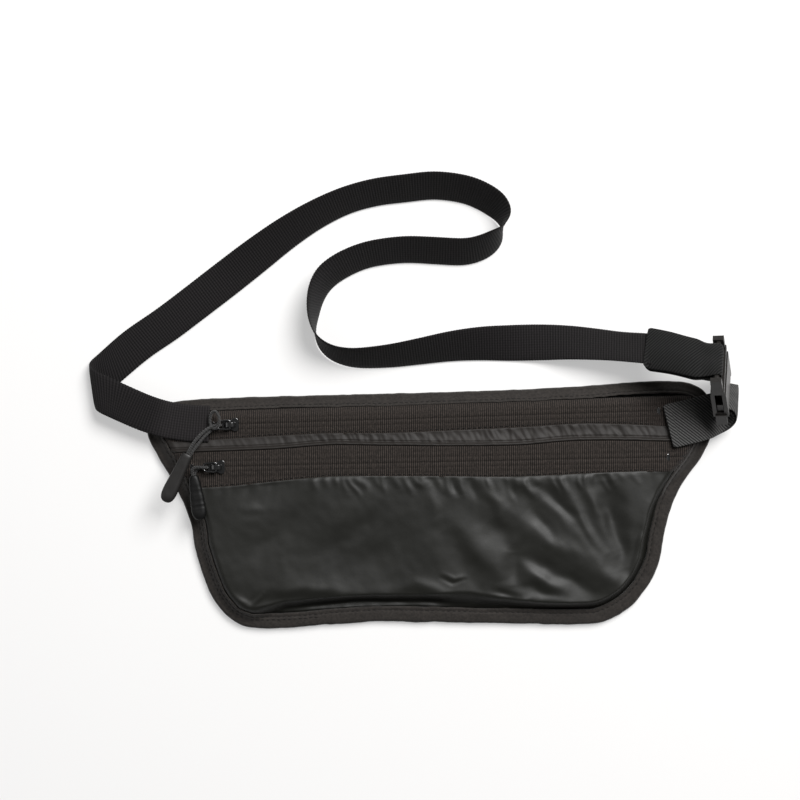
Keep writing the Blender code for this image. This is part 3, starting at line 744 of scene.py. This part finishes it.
NYLON, BINDING, ZIP_TAPE, ELASTIC = nylon_material(), binding_material(), tape_material(), elastic_material()
WEBBING = webbing_material("webbing", (0.0205, 0.0203, 0.0198), 0.2)
# Painted shade: a darker copy of the same webbing, for the strap's tab, standing in for the shade on the tilted
# tab.
PAINTED_SHADE_TAB_WEBBING = webbing_material("painted_shade_tab_webbing", (0.0042, 0.0042, 0.0041), 0.1)
THREAD_PAINTED_SHADE, CORD = thread_material(), cord_material()
METAL, PLASTIC = metal_material(), plastic_material()
RUBBER = rubber_material("grip_rubber", (0.0066, 0.0058, 0.0053), 0.4)
DARK_RUBBER = rubber_material("dark_grip_rubber", (0.0024, 0.0024, 0.0023), 0.2)
STRIP = strip_material()


def dress_node(node, mat):
    """Give a CAD node that stays visible one of the materials here."""
    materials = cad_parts[node].data.materials
    materials.clear()
    materials.append(mat)


def finish_piece(obj, body, slot_name, *nodes):
    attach(obj, body)
    if nodes:
        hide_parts(*nodes)
    return obj


# ---------------------------------------------------------------- cords and pulls

def pull_cord(name, slider, flat, slope, runs, grip):
    """The thin cord of one zip pull, looped through its tab, with both ends moulded into the grip."""
    place = Matrix.Translation((*slider, flat)) @ Matrix.Rotation(math.radians(slope), 4, "Z")
    wrap = RING_WIRE + RING_CLEARANCE + CORD_RADIUS
    loop = []
    for degrees in (90, 45, 0, -45, -90):
        angle = math.radians(degrees)
        loop.append(tuple(place @ Vector((
            -TAB_REACH + wrap * math.cos(angle), 0.0, HINGE_HEIGHT + wrap * math.sin(angle)))))
    first, second = runs
    start, end = Vector(grip[0]), Vector(grip[1])
    along = (end - start).normalized()
    ends = [tuple(Vector(point) + along * CORD_IN_GRIP) for point in (first[0], second[-1])]
    points = spaced(smooth_points([ends[0], *first, *loop, *second, ends[1]], 6), 0.6)
    obj = wire(name, points, CORD_RADIUS, CORD, 4)
    pull = name.split("_")[0] + "_pull"
    finish_piece(obj, pull, "cord", pull + "_cord")
    return obj


GRIP_SHAPES = {                # share of the length, width, thickness
    "upper": [(-0.02, 0.50, 0.6), (-0.012, 0.68, 0.82), (0.02, 0.76, 0.93), (0.10, 0.78, 0.97),
              (0.30, 0.83, 1.0), (0.50, 0.92, 1.0), (0.70, 1.0, 1.0), (0.84, 0.98, 0.97), (0.93, 0.82, 0.86),
              (0.98, 0.55, 0.66), (1.0, 0.25, 0.36)],
    "lower": [(-0.03, 0.30, 0.5), (-0.025, 0.46, 0.72), (0.0, 0.55, 0.86), (0.05, 0.66, 0.95),
              (0.2, 0.78, 0.99), (0.45, 0.92, 1.0), (0.7, 1.0, 1.0), (0.84, 0.97, 0.97), (0.93, 0.8, 0.86),
              (0.98, 0.55, 0.66), (1.0, 0.25, 0.36)],
}


def squared(value, power=0.78):
    """A sine or cosine bent so that an oval drawn with it is squarer, the more so the lower the power is."""
    return math.copysign(abs(value) ** power, value)


def pull_grip(name, route, mat, ribs):
    """A moulded rubber grip: a flattened drop shape with a collar where the cord goes in."""
    start, end = Vector(route[0]), Vector(route[1])
    along = (end - start).normalized()
    across = Vector((0, 0, 1)).cross(along).normalized()
    length = (end - start).length
    rings = []
    for t, width, thick in smooth_points(GRIP_SHAPES[name], 6):
        centre = start + along * length * t
        groove = 1.0
        if ribs and 0.15 < t < 0.8:
            groove = 1.0 - 0.08 * max(0.0, math.sin(t * 2 * math.pi * 9)) ** 2
        ring = []
        for k in range(28):
            angle = 2 * math.pi * k / 28
            side = squared(math.cos(angle)) * GRIP_HALF_WIDTH * width * groove
            rise = squared(math.sin(angle)) * GRIP_HALF_THICK * thick * groove
            dish = 0.25 * math.exp(-(side / (1.7 * width)) ** 2) * ease(min((t - 0.12) * 5, (0.92 - t) * 6))
            rise -= math.copysign(dish, rise) if abs(rise) > 0.4 else 0.0
            ring.append(centre + across * side + Vector((0, 0, rise)))
        rings.append([tuple(p) for p in ring])
    obj = closed_loft(name + "_grip", rings, mat)
    finish_piece(obj, name + "_pull", "grip_rubber", name + "_pull_grip")


def cord_hitch(name, centre, half):
    """The bight of a cow hitch, an oval of cord standing round the end of the slider's ring."""
    points = []
    for step in range(40):
        angle = 2 * math.pi * step / 40
        away = Vector((half[0] * math.cos(angle), half[1] * math.sin(angle), 1.1 * math.cos(angle)))
        points.append(Vector(centre) + away)
    rings = []
    for i, point in enumerate(points):
        along = (points[(i + 1) % len(points)] - points[i - 1]).normalized()
        side = along.cross(Vector((0, 0, 1))).normalized()
        up = side.cross(along)
        rings.append([tuple(point + CORD_RADIUS * (side * math.cos(a) + up * math.sin(a)))
                      for a in (2 * math.pi * k / 10 for k in range(10))])
    obj = closed_loft(name + "_hitch", rings, CORD, wrap=True)
    finish_piece(obj, name + "_pull", "cord")
    return obj


# ---------------------------------------------------------------- zips

NEAR_ROW, FAR_ROW = 1.55, 4.2          # distance of the two knitted rows from the middle of the zip


def zip_chain(name, line, top, low, flat, body_nodes):
    """Both tapes of a closed zip with the coil between them, in one knitted surface."""
    share = np.concatenate([np.linspace(-1, -0.76, 6), np.linspace(-0.70, 0.70, 29), np.linspace(0.76, 1, 6)])
    columns = 900

    def level(v):
        def height(x):
            reach = top(x) + 0.6 - line(x) if v > 0 else line(x) - low(x) + 0.6
            return line(x) + v * reach
        return height
    rows = [[side[0] for side in plan_grid(level(v), level(v), columns, 2)] for v in share]
    x, y = (np.array([row[axis] for row in rows]) for axis in (0, 1))
    off = y - line(x)
    away = np.abs(off)
    z = front_height(x, y)
    uneven = plan_noise(x, y, 2.2, flat, (1.0, 2.4))
    knit = 0.5 - 0.5 * np.cos(2 * np.pi * x / KNIT_PERIOD + 0.8 * uneven)
    near_row = np.exp(-((away - NEAR_ROW) / 0.95) ** 4)
    far_row = np.exp(-((away - FAR_ROW) / 1.05) ** 4)
    z += 0.48 * knit * near_row + 0.38 * knit * far_row + 0.06 * knit
    slit = 0.5 if name == "lower" else 0.3
    z += 0.16 * bell(away - 1.4, 1.1) - slit * bell(off, 0.24)
    z -= 0.08 * bell(away - 2.85, 0.2) + 0.06 * bell(away - 5.6, 0.25)
    z += 0.07 * uneven
    slow = plan_noise(x[0], 0 * x[0], 26.0, flat)
    z += 0.2 * slow[None, :] * ease((away - 1.0) / 4.0)
    z -= 1.0 * ease((y - top(x) + 0.35) / 0.5)          # tucked in at the tapes' outer edges
    z -= 0.3 * ease((low(x) + 0.4 - y) / 0.8)
    under_slider = flat - 0.9 - 6.0 * ease((away - 4.4) / 1.5) - 6.0 * ease((x - 125.0) / 3.0)
    z = np.clip(z, under_slider, flat + 0.40)
    obj = thin_sheet(name + "_zip", x[::-1], y[::-1], z[::-1], 0.5, ZIP_TAPE)
    finish_piece(obj, "pouch", "zip_tape", *body_nodes)
    return obj


SLIDER_PLATES = ((0.42, 1.4, 1.0), (-2.3, -1.65, 0.93))        # underside, top and scale of each plate
CROWN_STEPS, CROWN_HALF, CROWN_RISE, CROWN_FOOT = 14, 2.85, 2.55, 1.15
CROWN_SECTION = ((0.42, 1.35), (0.42, -1.35), (-0.42, -1.35), (-0.42, 1.35))


def slider_outline():
    half = [(-4.75, 0.0), (-4.7, 1.3), (-3.9, 2.3), (-1.6, 2.5), (0.6, 2.9), (2.4, 3.75), (3.9, 3.6),
            (4.75, 2.2)]
    return half + [(x, -y) for x, y in reversed(half[1:])]


def slider(name, at, slope, flat):
    """Slider body with its arched crown, and the ring that the cord hangs on."""
    place = Matrix.Translation((*at, flat)) @ Matrix.Rotation(math.radians(slope), 4, "Z")
    bm = bmesh.new()

    def plate(low, high, shrink):
        ring = smooth_points([(x * shrink, y * shrink) for x, y in slider_outline()], 3, closed=True)
        bottom = [bm.verts.new((x, y, low)) for x, y in ring]
        top = [bm.verts.new((x, y, high)) for x, y in ring]
        bm.faces.new(list(reversed(bottom)))
        bm.faces.new(top)
        for k in range(len(ring)):
            bm.faces.new((bottom[k - 1], bottom[k], top[k], top[k - 1]))

    for low, high, shrink in SLIDER_PLATES:
        plate(low, high, shrink)
    wedge = Matrix.Translation((2.6, 0, -0.6)) @ Matrix.Diagonal((3.4, 0.8, 2.6, 1))
    bmesh.ops.create_cube(bm, size=1.0, matrix=wedge)
    arch = []
    for k in range(CROWN_STEPS + 1):
        angle = math.pi * k / CROWN_STEPS
        reach = squared(math.cos(angle), 0.7) * CROWN_HALF
        rise = math.sin(angle) ** 0.7 * CROWN_RISE
        outward = Vector((math.cos(angle), 0, math.sin(angle)))
        centre = Vector((reach, 0, CROWN_FOOT + rise))
        ring = []
        for a, b in CROWN_SECTION:
            ring.append(bm.verts.new(centre + outward * a + Vector((0, b, 0))))
        arch.append(ring)
    for a, b in zip(arch, arch[1:]):
        for k in range(4):
            bm.faces.new((a[k - 1], a[k], b[k], b[k - 1]))
    bm.faces.new(arch[0])
    bm.faces.new(list(reversed(arch[-1])))
    bmesh.ops.recalc_face_normals(bm, faces=bm.faces)
    bm.transform(Matrix.Scale(MM, 4) @ place)
    mesh = bpy.data.meshes.new(name + "_slider")
    bm.to_mesh(mesh)
    bm.free()
    mesh.materials.append(METAL)
    body = add_object(name + "_slider_body_cast", mesh)
    bevel = body.modifiers.new("edges", "BEVEL")
    bevel.width = 0.28 * MM
    bevel.segments = 3
    bevel.limit_method = "ANGLE"
    mesh.shade_smooth()
    mesh.set_sharp_from_angle(angle=math.radians(50))
    finish_piece(body, name + "_slider", "black_metal", name + "_slider_body")

    half = 2.3
    bend = [(2.6, half), (0.9, half - 0.25), (0.1, 1.2), (0.0, 0.0)]
    bend += [(x, -y) for x, y in reversed(bend[:3])]
    corners = [(0.0, -half), (0.0, 0.0), (0.0, half)] + [(x - TAB_REACH, y) for x, y in bend]
    points = smooth_points(corners, 4, closed=True)
    spots = [place @ Vector((x, y, HINGE_HEIGHT)) for x, y in points]
    ring = wire(name + "_pull_ring", spots, RING_WIRE, METAL, 3, closed=True)
    finish_piece(ring, name + "_tab", "black_metal", name + "_pull_tab")


# ---------------------------------------------------------------- pouch cloth

def make_back():
    """Back panel, lying flat, with a slight ripple."""
    obj = flat_layer("back_cloth", 0.55, 0.12, 0.6, 16)
    finish_piece(obj, "pouch", "coated_nylon", "back_panel")


def make_divider():
    """Inner sheet that parts the two pockets, lying on the back panel."""
    obj = flat_layer("divider_cloth", 1.35, 1.15, 0.4, 12)
    finish_piece(obj, "pouch", "coated_nylon", "divider_panel")


def flat_layer(name, inset, base, thick, shells):
    """A closed layer in the pouch's outline, inset by a share of the binding's width, slightly rippled."""
    ring = EDGE - EDGE_NORMALS * (BINDING_WIDTH * inset)[:, None]
    centre = np.array([0.0, -2.0])
    plan = np.array([centre + (ring - centre) * share for share in np.linspace(1.0, 0.03, shells)])
    x, y = plan[..., 0], plan[..., 1]
    z = base + 0.1 * (plan_noise(x, y, 22.0, 3) + 1)
    low = np.stack([x, y, z], axis=2)
    high = np.stack([x, y, z + thick], axis=2)
    count, sides = x.shape
    verts = np.vstack([low.reshape(-1, 3), high.reshape(-1, 3)])
    total = count * sides
    faces = grid_faces(count, sides, wrap_columns=True)
    faces += [tuple(k + total for k in reversed(f)) for f in faces]
    faces += [(k, (k + 1) % sides, (k + 1) % sides + total, k + total) for k in range(sides)]
    last = (count - 1) * sides
    faces.append(tuple(last + k for k in range(sides)))
    faces.append(tuple(last + total + k for k in reversed(range(sides))))
    obj = make_mesh(name, verts, faces, NYLON, verts[:, :2])
    face_out(obj)
    return obj


FOLDS = [                      # points along each fold of the front panel, its half width, its height
    (((44, -3), (63, -17), (86, -31), (106, -45)), 5.0, 1.9),
    (((50, -27), (69, -37.5), (91, -50)), 3.4, -2.0),
    (((52, -36), (75, -46.5)), 2.6, 1.2),
    (((49, -44.5), (69, -50)), 2.2, -1.2),
    (((56, -2), (71, -19)), 2.4, -1.4),
    (((56, 11), (70, -3), (84, -19), (103, -41)), 3.4, 1.1),
    (((61, 11), (69, 3), (78, -6)), 2.2, -1.5),
    (((73, 14), (82.6, -5.6), (97, -27)), 2.3, 1.3),
    (((85, 14), (95, -5.6), (103, -27)), 2.8, 1.6),
    (((97, 14), (102, -9), (108.5, -35)), 4.6, -3.2),
    (((111, 14), (114, -3), (117, -16)), 5.0, 1.8),
    (((121.5, 2), (118, -18), (114, -36)), 1.5, 1.1),
    (((118, -6), (112, -38)), 2.2, -1.0),
    (((-5, 13), (0, 4), (3, -6)), 3.6, 1.1),
    (((12, 15), (15, 7)), 1.8, -0.9),
    (((22, 15), (27, 5)), 2.2, -1.0),
    (((28, 14), (37, 2), (41, -8)), 2.8, 1.3),
    (((40, 14), (48, 5)), 2.0, -0.9),
    (((50, 15), (58, 4)), 1.8, 0.8),
    (((16, -10), (29, -26), (40, -42)), 5.2, 1.7),
    (((33, -9), (45, -22)), 4.6, -1.4),
    (((46, -26), (46.5, -44)), 4.2, -1.9),
    (((8, -14), (20, -34), (27, -45)), 5.0, -1.0),
    (((-20, -49.5), (-5, -51.5), (9, -56)), 2.6, -1.7),
    (((-8, -43.5), (13, -50.5)), 2.6, 1.2),
    (((6, -41), (13, -42.5), (19, -41)), 1.0, -0.6),
    (((7, -38.6), (14, -40), (19, -38.8)), 1.1, 0.5),
    (((28, -51), (42, -53.5)), 1.5, 1.0),
    (((45, -54.5), (57, -51.5)), 1.5, 1.0),
    (((36, -48.5), (49, -50.5)), 1.7, -1.2),
    (((62, -52), (84, -54.5)), 2.4, 0.9),
    (((-98, -48.5), (-79, -46.5), (-46, -48), (-14, -50)), 3.4, 0.6),
    (((-98, -54.5), (-79, -52.5), (-46, -54), (-14, -56)), 3.4, -2.6),
    (((-108, -50.5), (-99.5, -57)), 1.3, 0.9),
    (((-94, -50.5), (-99.5, -57)), 1.3, 0.9),
    (((-71, -5), (-86, -18), (-103, -29)), 4.2, -0.9),
    (((-82, 2), (-110, -14)), 5.0, 0.7),
    (((-27, -2), (-41, -15), (-59, -26)), 4.2, -0.9),
    (((-40, 2), (-60, -14)), 5.0, 0.5),
    (((-46, 16), (-40, 6)), 1.1, 0.7),
    (((-105, -1), (-94, -3)), 1.8, 0.6),
    (((-20, -22), (-44, -36)), 5.0, -0.6),
]
FOLD_WIDENING, FOLD_SOFTENING = 1.25, 0.66     # both apply to every fold in the list
PUCKERS_FROM, PUCKERS_TO = -66.0, 112.0
SLUMP_PLACE, SLUMP_SIZE, SLUMP_DEPTH = (-30.0, -36.0), (42.0, 22.0), 2.0
GRIP_PLACE = (98.0, -22.0)     # right of and above this, the cloth leaves room for the lower grip
CLOTH_CAP, CAP_UNDER_GRIP, CAP_SOFTNESS = LOWER_FLAT + 2.6, 2.1, 0.4


def make_front_panel():
    """Front panel below the lower zip, with the folds and puckers of thin coated cloth."""
    x, y = plan_grid(lambda x: lower_low(x) + 0.5, bottom_line, 380, 118)
    z = front_height(x, y)
    seam = lower_low(x) - y
    bent_x, bent_y = x + 1.8 * plan_noise(x, y, 11.0, 41.0), y + 1.8 * plan_noise(x, y, 11.0, 43.0)
    folds = np.zeros(x.shape)
    for points, width, height in FOLDS:
        folds += crease(bent_x, bent_y, points, width * FOLD_WIDENING, height * FOLD_SOFTENING)
    dice = random.Random(7)
    place = PUCKERS_FROM
    while place < PUCKERS_TO:
        top = float(lower_low(np.array([place]))[0])
        lean = dice.uniform(1.0, 6.0)
        reach = dice.uniform(5.0, 12.0)
        middle = (place + lean * 0.35, top - reach * 0.5)
        points = ((place, top + 0.5), middle, (place + lean, top - reach))
        folds += crease(bent_x, bent_y, points, dice.uniform(1.3, 2.3), dice.uniform(0.25, 0.6))
        place += dice.uniform(4.0, 9.0)
    soft = 0.7 * plan_noise(x, y, 30.0, 1.0) + 0.3 * plan_noise(x, y, 13.0, 2.0, (1.0, 0.8))
    soft += 0.10 * plan_noise(x, y, 5.0, 5.0)
    pucker = 0.35 * plan_noise(x, y, 4.0, 7.0, (1.0, 0.30)) * bell(seam, 6.0)
    rim = edge_distance(x, y) - BINDING_SIDE
    gather = 0.45 * plan_noise(x, y, 5.5, 11.0) * bell(rim, 6.0)
    held = ease((rim + 0.5) / 4.0) * ease(seam / 3.0 + 0.25)       # 0 where the cloth is sewn down
    z += (folds + soft) * held + pucker * ease(seam / 2.0 + 0.4) + gather * 0.7
    z -= 0.7 * ease((0.3 - seam) / 0.8) + 0.6 * bell(rim, 0.9)
    z -= SLUMP_DEPTH * bell(x - SLUMP_PLACE[0], SLUMP_SIZE[0]) * bell(y - SLUMP_PLACE[1], SLUMP_SIZE[1]) * held
    under_grip = ease((x - GRIP_PLACE[0]) / 8.0) * ease((y - GRIP_PLACE[1]) / 8.0)
    cap = CLOTH_CAP - CAP_UNDER_GRIP * under_grip
    z = np.maximum(cap - CAP_SOFTNESS * np.log1p(np.exp((cap - z) / CAP_SOFTNESS)), 1.9)
    obj = cloth_sheet("front_panel_cloth", x[::-1], y[::-1], z[::-1], CLOTH, NYLON)
    finish_piece(obj, "pouch", "coated_nylon", "front_panel")


GATHER_LEAN = 0.45             # how far the gathers lean along the strip for each millimetre across it


def make_middle_strip():
    """Narrow gathered strip between the zips, ending in a rolled welt above the lower one."""
    x, y = plan_grid(lambda x: upper_low(x) + 0.5, lambda x: lower_top(x) - 0.4, 560, 26)
    z = front_height(x, y)
    top = upper_low(x) - y
    bottom = y - lower_top(x)
    inside = ease(np.minimum(top, bottom - 0.8) / 1.8 + 0.3)
    leaning = x + GATHER_LEAN * y
    gathers = 0.44 * plan_noise(leaning, y, 3.4, 21.0, (1.0, 0.35))
    gathers += 0.30 * plan_noise(leaning, y, 1.9, 22.0, (1.0, 0.45))
    gathers *= 0.35 + 0.65 * ease((x + 95.0) / 40.0)               # calmer towards the sliders
    z += (gathers + 0.3 * plan_noise(leaning, y, 11.0, 23.0, (1.0, 0.5))) * inside
    z += 0.75 * bell(bottom - 0.9, 0.75) - 0.45 * bell(bottom - 2.3, 0.5)       # the welt and its groove
    z -= 0.8 * ease((0.3 - top) / 0.7)
    z -= 1.3 * ease((0.15 - bottom) / 0.5)
    obj = cloth_sheet("middle_strip_cloth", x[::-1], y[::-1], z[::-1], CLOTH, STRIP)
    finish_piece(obj, "pouch", "coated_nylon", "middle_strip")


def make_binding():
    """Tape folded over the pouch's edge, slightly wavy, sewn near its inner edge.

    Gives the lines that its stitches follow.
    """
    low_side = ease((-EDGE_NORMALS[:, 1] - 0.2) / 0.5)
    width = BINDING_WIDTH + 0.45 * plan_noise(*EDGE.T, 17.0, 31.0) + 0.35 * plan_noise(*EDGE.T, 4.2, 33.0)
    slack = (0.25 + 0.35 * low_side) * plan_noise(*EDGE.T, 11.0, 38.0) + 0.18 * plan_noise(*EDGE.T, 3.5, 39.0)
    under = [(0.96, 0.1), (0.55, 0.02), (0.17, 0.0)]
    edge_side = [(0.35, 0.35), (-0.05, 1.1), (-0.05, 1.9), (0.25, 2.6)]
    shares = [0.10, 0.19, 0.29, 0.39, 0.49, 0.58, 0.66, 0.71, 0.76, 0.81, 0.87, 0.93, 0.975, 1.0]
    sewn_share, second_share = 0.76, 0.58
    outer = len(under) + len(edge_side)
    rings = []
    for point, normal, w, loose in zip(EDGE, EDGE_NORMALS, width, slack):
        profile = [(share * w, z) for share, z in under] + [(d - loose, z) for d, z in edge_side]
        profile += [(share * w - loose * max(0.0, 1 - share * 2), 0.0) for share in shares] + [(w + 0.1, 0.0)]
        rings.append([(point[0] - normal[0] * d, point[1] - normal[1] * d, z) for d, z in profile])
    result = np.array(rings)
    x, y = result[..., 0], result[..., 1]
    height = front_height(x, y)
    fine, medium = plan_noise(x, y, 3.2, 35.0), plan_noise(x, y, 8.0, 36.0)
    join = 0.5 * bell(x - JOIN_X, 0.6) * (y < -50)
    for j, share in enumerate(shares):
        column = outer + j
        crown = 0.5 * math.sin(math.pi * min(share * 1.02, 1.0)) ** 0.6
        sewn = -0.38 * bell(share - sewn_share, 0.05)
        lip = 0.25 * bell(share - 0.93, 0.05) - 0.9 * (share >= 1.0)
        wrinkle = (0.22 * fine[:, column] + 0.5 * medium[:, column]) * math.sin(math.pi * share * 0.9)
        result[:, column, 2] = height[:, column] + 0.35 + crown + sewn + lip + wrinkle + join[:, column]
    result[:, -1, 2] = height[:, -1] - 1.3
    result[:, outer - 1, 2] = 2.5
    obj = closed_loft("edge_binding_tape", result, BINDING, wrap=True)
    finish_piece(obj, "pouch", "binding", "edge_binding")
    sewn_line = result[:, outer + shares.index(sewn_share)]
    second = result[:, outer + shares.index(second_share)]
    corner = (second[:, 0] < -62) & (second[:, 1] < -4)
    loose_end = np.array([(JOIN_X - 0.4, -64.6, 3.0), (JOIN_X - 0.9, -66.4, 1.7), (JOIN_X - 1.6, -68.0, 0.6)])
    return [sewn_line, second[corner], loose_end]


def seam_lines():
    """Rows of stitching along the edges of both zips."""
    lines = []
    for edge, offset in ((upper_low, 0.9), (lower_low, 0.9)):
        x = np.arange(-129.0, 127.0, 1.0)
        y = edge(x) + offset
        z = front_height(x, y) + 0.1
        lines.append(np.stack([x, y, z], axis=1))
    return lines


# ---------------------------------------------------------------- strap and webbing

def run_stations(points):
    """Middle of the strap, and its width as a vector, at each point of a run."""
    plan = [Vector((x, y, lift)) for x, y, lift, _ in points]
    rows = []
    for i, (x, y, lift, lean) in enumerate(points):
        along = (plan[min(i + 1, len(plan) - 1)] - plan[max(i - 1, 0)]).normalized()
        lean = math.radians(lean)
        flare = STRAP_FLARE * min(max((x - BENDS_MIDDLE) / BENDS_HALF, -1.0), 1.0) * max(math.sin(lean), 0.0)
        upright = Vector((flare, math.cos(lean), math.sin(lean)))
        level = Vector((along.x, along.y, 0.0))
        across = (upright - level * level.dot(upright)).normalized()
        middle = lift + STRAP_THICK / 2 + abs(across.z) * STRAP_WIDTH / 2
        rows.append((x, y, middle, *(across * STRAP_WIDTH)))
    return rows


def fold_stations(steps):
    """The same round the fold, where each section lies along the crease and the band winds on."""
    crease_line = Vector((math.cos(FOLD_CREASE), math.sin(FOLD_CREASE), 0.0))
    outside = Vector((-crease_line.y, crease_line.x, 0.0))
    up = Vector((0.0, 0.0, 1.0))
    pitch = FOLD_CREASE - FOLD_OUT
    rows = []
    for step in range(steps + 1):
        turn = math.pi * step / steps
        away = up * math.cos(turn) + outside * math.sin(turn)
        slip = FOLD_RADIUS * (turn - math.pi / 2) / math.tan(pitch)
        centre = FOLD_MIDDLE + away * FOLD_RADIUS + crease_line * slip
        rows.append((*centre, *(crease_line * (STRAP_WIDTH / math.sin(pitch)))))
    return rows


def strap_stations():
    """The whole strap, with both of its edges eased so that they turn in smooth curves."""
    rows = run_stations(SEWN_RUN)[:-1] + fold_stations(8) + run_stations(LONG_RUN)[1:]
    rows = [(row[0] - 1.8 * float(ease((-150.0 - row[0]) / 30.0)), *row[1:]) for row in rows]
    line = spaced(smooth_points(rows, 8), STRAP_STEP)
    edges = np.hstack([line[:, :3] - line[:, 3:] / 2, line[:, :3] + line[:, 3:] / 2])
    for _ in range(EDGE_EASING):
        edges[1:-1] = (edges[:-2] + 2 * edges[1:-1] + edges[2:]) / 4
    low, high = edges[:, :3], edges[:, 3:]
    return np.hstack([(low + high) / 2, high - low])


def make_strap():
    stations = strap_stations()

    def rib(s, u):
        return -0.10 * np.cos(2 * np.pi * s / ELASTIC_RIB) * (1 - 0.5 * np.abs(u) ** 4)
    s = np.arange(len(stations)) * STRAP_STEP
    width = np.linalg.norm(stations[:, 3:], axis=1) - 0.22 * np.cos(2 * np.pi * s / ELASTIC_RIB)
    obj = ribbon("waist_elastic", stations[:, :3], stations[:, 3:], width, STRAP_THICK - 0.25, ELASTIC,
                 columns=17, rib=rib)
    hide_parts("waist_strap")
    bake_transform(obj)


def webbing_layer(name, route, across, width, mat, sag=0.0, hand=1):
    """One length of webbing. sag lowers the edge that the widths point away from, in millimetres.

    hand is 1 or -1, for the way its twill leans.
    """
    half_way = len(route) // 2

    def droop(s, u):
        turned = np.where(np.arange(len(route)) < half_way, 1.0, -1.0)[:, None]
        from_hem = np.minimum(s, s[-1] - s)
        rise = ease(from_hem / 3.0) * ease((s[-1] / 2 - from_hem) / 9.0)
        return -hand * sag * turned * rise * np.clip(-hand * u, 0, 1) ** 1.6

    def rib(s, u):
        phase = s * math.cos(TWILL_ANGLE) + u * WEBBING_WIDTH / 2 * math.sin(TWILL_ANGLE)
        return -0.10 * np.cos(2 * np.pi * phase / TWILL_PERIOD)
    return ribbon(name, route, hand * across, width, WEBBING_THICK - 0.2, mat,
                  columns=41, rib=rib, droop=droop)


def loop_round_bar(route, across, bar, gap):
    """Centre line of webbing that runs to a bar on one side, round it, and back on the other side."""
    route, across = np.asarray(route, float), np.asarray(across, float)
    tangent = units(np.gradient(route, axis=0))
    normal = units(np.cross(tangent, across))
    reach = np.linalg.norm(route - np.array(bar), axis=1)
    spread = gap + (BAR_RADIUS + WEBBING_THICK / 2 + 0.2 - gap) * ease(1.25 - reach / 7.0)
    hem = np.linalg.norm(route - route[0], axis=1)
    spread += 0.55 * ease((4.2 - hem) / 1.6) * (gap < 1.0)
    upper = route + normal * spread[:, None]
    lower = route - normal * spread[:, None]
    end, sides = tangent[-1], normal[-1]
    turn = []
    radius = spread[-1]
    for k in range(1, 12):
        angle = math.pi * k / 12
        turn.append(route[-1] + sides * radius * math.cos(angle) + end * radius * math.sin(angle))
    path = np.vstack([upper, np.array(turn), lower[::-1]])
    widths = np.vstack([across, np.repeat(across[-1:], len(turn), axis=0), across[::-1]])
    return path, widths


def webbing_loop(name, stops, widths, bar, gap, end_width, mat, sag=0.0, hand=1):
    """A doubled length of webbing from a hem to a buckle's bar and round it, squeezed narrower there."""
    rows = [tuple(a) + tuple(b) for a, b in zip(list(stops) + [tuple(bar)], widths)]
    route = spaced(smooth_points(rows, 12), 0.3)
    path, across = loop_round_bar(route[:, :3], route[:, 3:], bar, gap)
    both = spaced(np.hstack([path, across]), 0.3)
    away = np.linalg.norm(both[:, :3] - np.array(bar), axis=1)
    width = WEBBING_WIDTH + (end_width - WEBBING_WIDTH) * ease(1.6 - away / 8.0)
    s = np.arange(len(both)) * 0.3
    hem = np.minimum(s, s[-1] - s)
    width = width - 2.2 * np.clip(1 - hem / 2.2, 0, 1) ** 2.5
    return webbing_layer(name, both[:, :3], both[:, 3:], width, mat, sag, hand)


def make_tab():
    """Webbing folded over the strap's end and round the plug's bar."""
    widths = [STRAP_END_WIDTH.lerp(-BUCKLE_W, share) for share in (0.0, 0.35, 0.7, 0.9, 1.0)]
    stops = [(119.6, 87.5, 17.8)] + TAB_ROUTE
    # The tab uses the darker copy of the webbing, which is painted shade.
    obj = webbing_loop("strap_tab_webbing", stops, widths[:1] + widths, PLUG_BAR, 1.4, TAB_END_WIDTH,
                       PAINTED_SHADE_TAB_WEBBING, sag=2.0, hand=-1)
    finish_piece(obj, "plug", "webbing", "strap_tab")


def make_anchor():
    """Doubled webbing from its hem on the pouch, over the edge and round the socket's bar."""
    widths = [Vector(v) for v in ANCHOR_WIDTHS] + [-BUCKLE_W]
    obj = webbing_loop("anchor_webbing", ANCHOR_ROUTE, widths, SOCKET_BAR, 0.66, ANCHOR_END_WIDTH, WEBBING)
    finish_piece(obj, "pouch", "webbing", "anchor_tab")


# ---------------------------------------------------------------- the whole belt

set_stage()
hitch = cord_hitch("upper", HITCH_MIDDLE, HITCH_HALF)
pull_cord("upper_cord", UPPER_SLIDER, UPPER_FLAT, UPPER_SLOPE, UPPER_PULL, UPPER_GRIP)
pull_cord("lower_cord", LOWER_SLIDER, LOWER_FLAT, LOWER_SLOPE, LOWER_PULL, LOWER_GRIP)
pull_grip("upper", UPPER_GRIP, RUBBER, ribs=False)
pull_grip("lower", LOWER_GRIP, DARK_RUBBER, ribs=True)
slider("upper", UPPER_SLIDER, UPPER_SLOPE, UPPER_FLAT)
slider("lower", LOWER_SLIDER, LOWER_SLOPE, LOWER_FLAT)

make_back()
make_divider()
make_front_panel()
make_middle_strip()
binding_lines = make_binding()
for zip_name, zip_line, zip_top, zip_low, zip_flat in (
        ("upper", upper_line, upper_top, upper_low, UPPER_FLAT),
        ("lower", lower_line, lower_top, lower_low, LOWER_FLAT)):
    zip_nodes = [f"{zip_name}_zip_{kind}_{side}" for kind in ("tape", "coil") for side in ("top", "bottom")]
    zip_chain(zip_name, zip_line, zip_top, zip_low, zip_flat, zip_nodes)
    for side in ("left", "right"):
        dress_node(f"{zip_name}_zip_stop_{side}", METAL)
thread = stitches("seam_threads", seam_lines() + binding_lines, THREAD_PAINTED_SHADE)
finish_piece(thread, "pouch", "binding")

make_strap()
make_tab()
make_anchor()
for node in ("buckle_plug", "buckle_socket", "prong_low", "prong_high"):
    dress_node(node, PLASTIC)
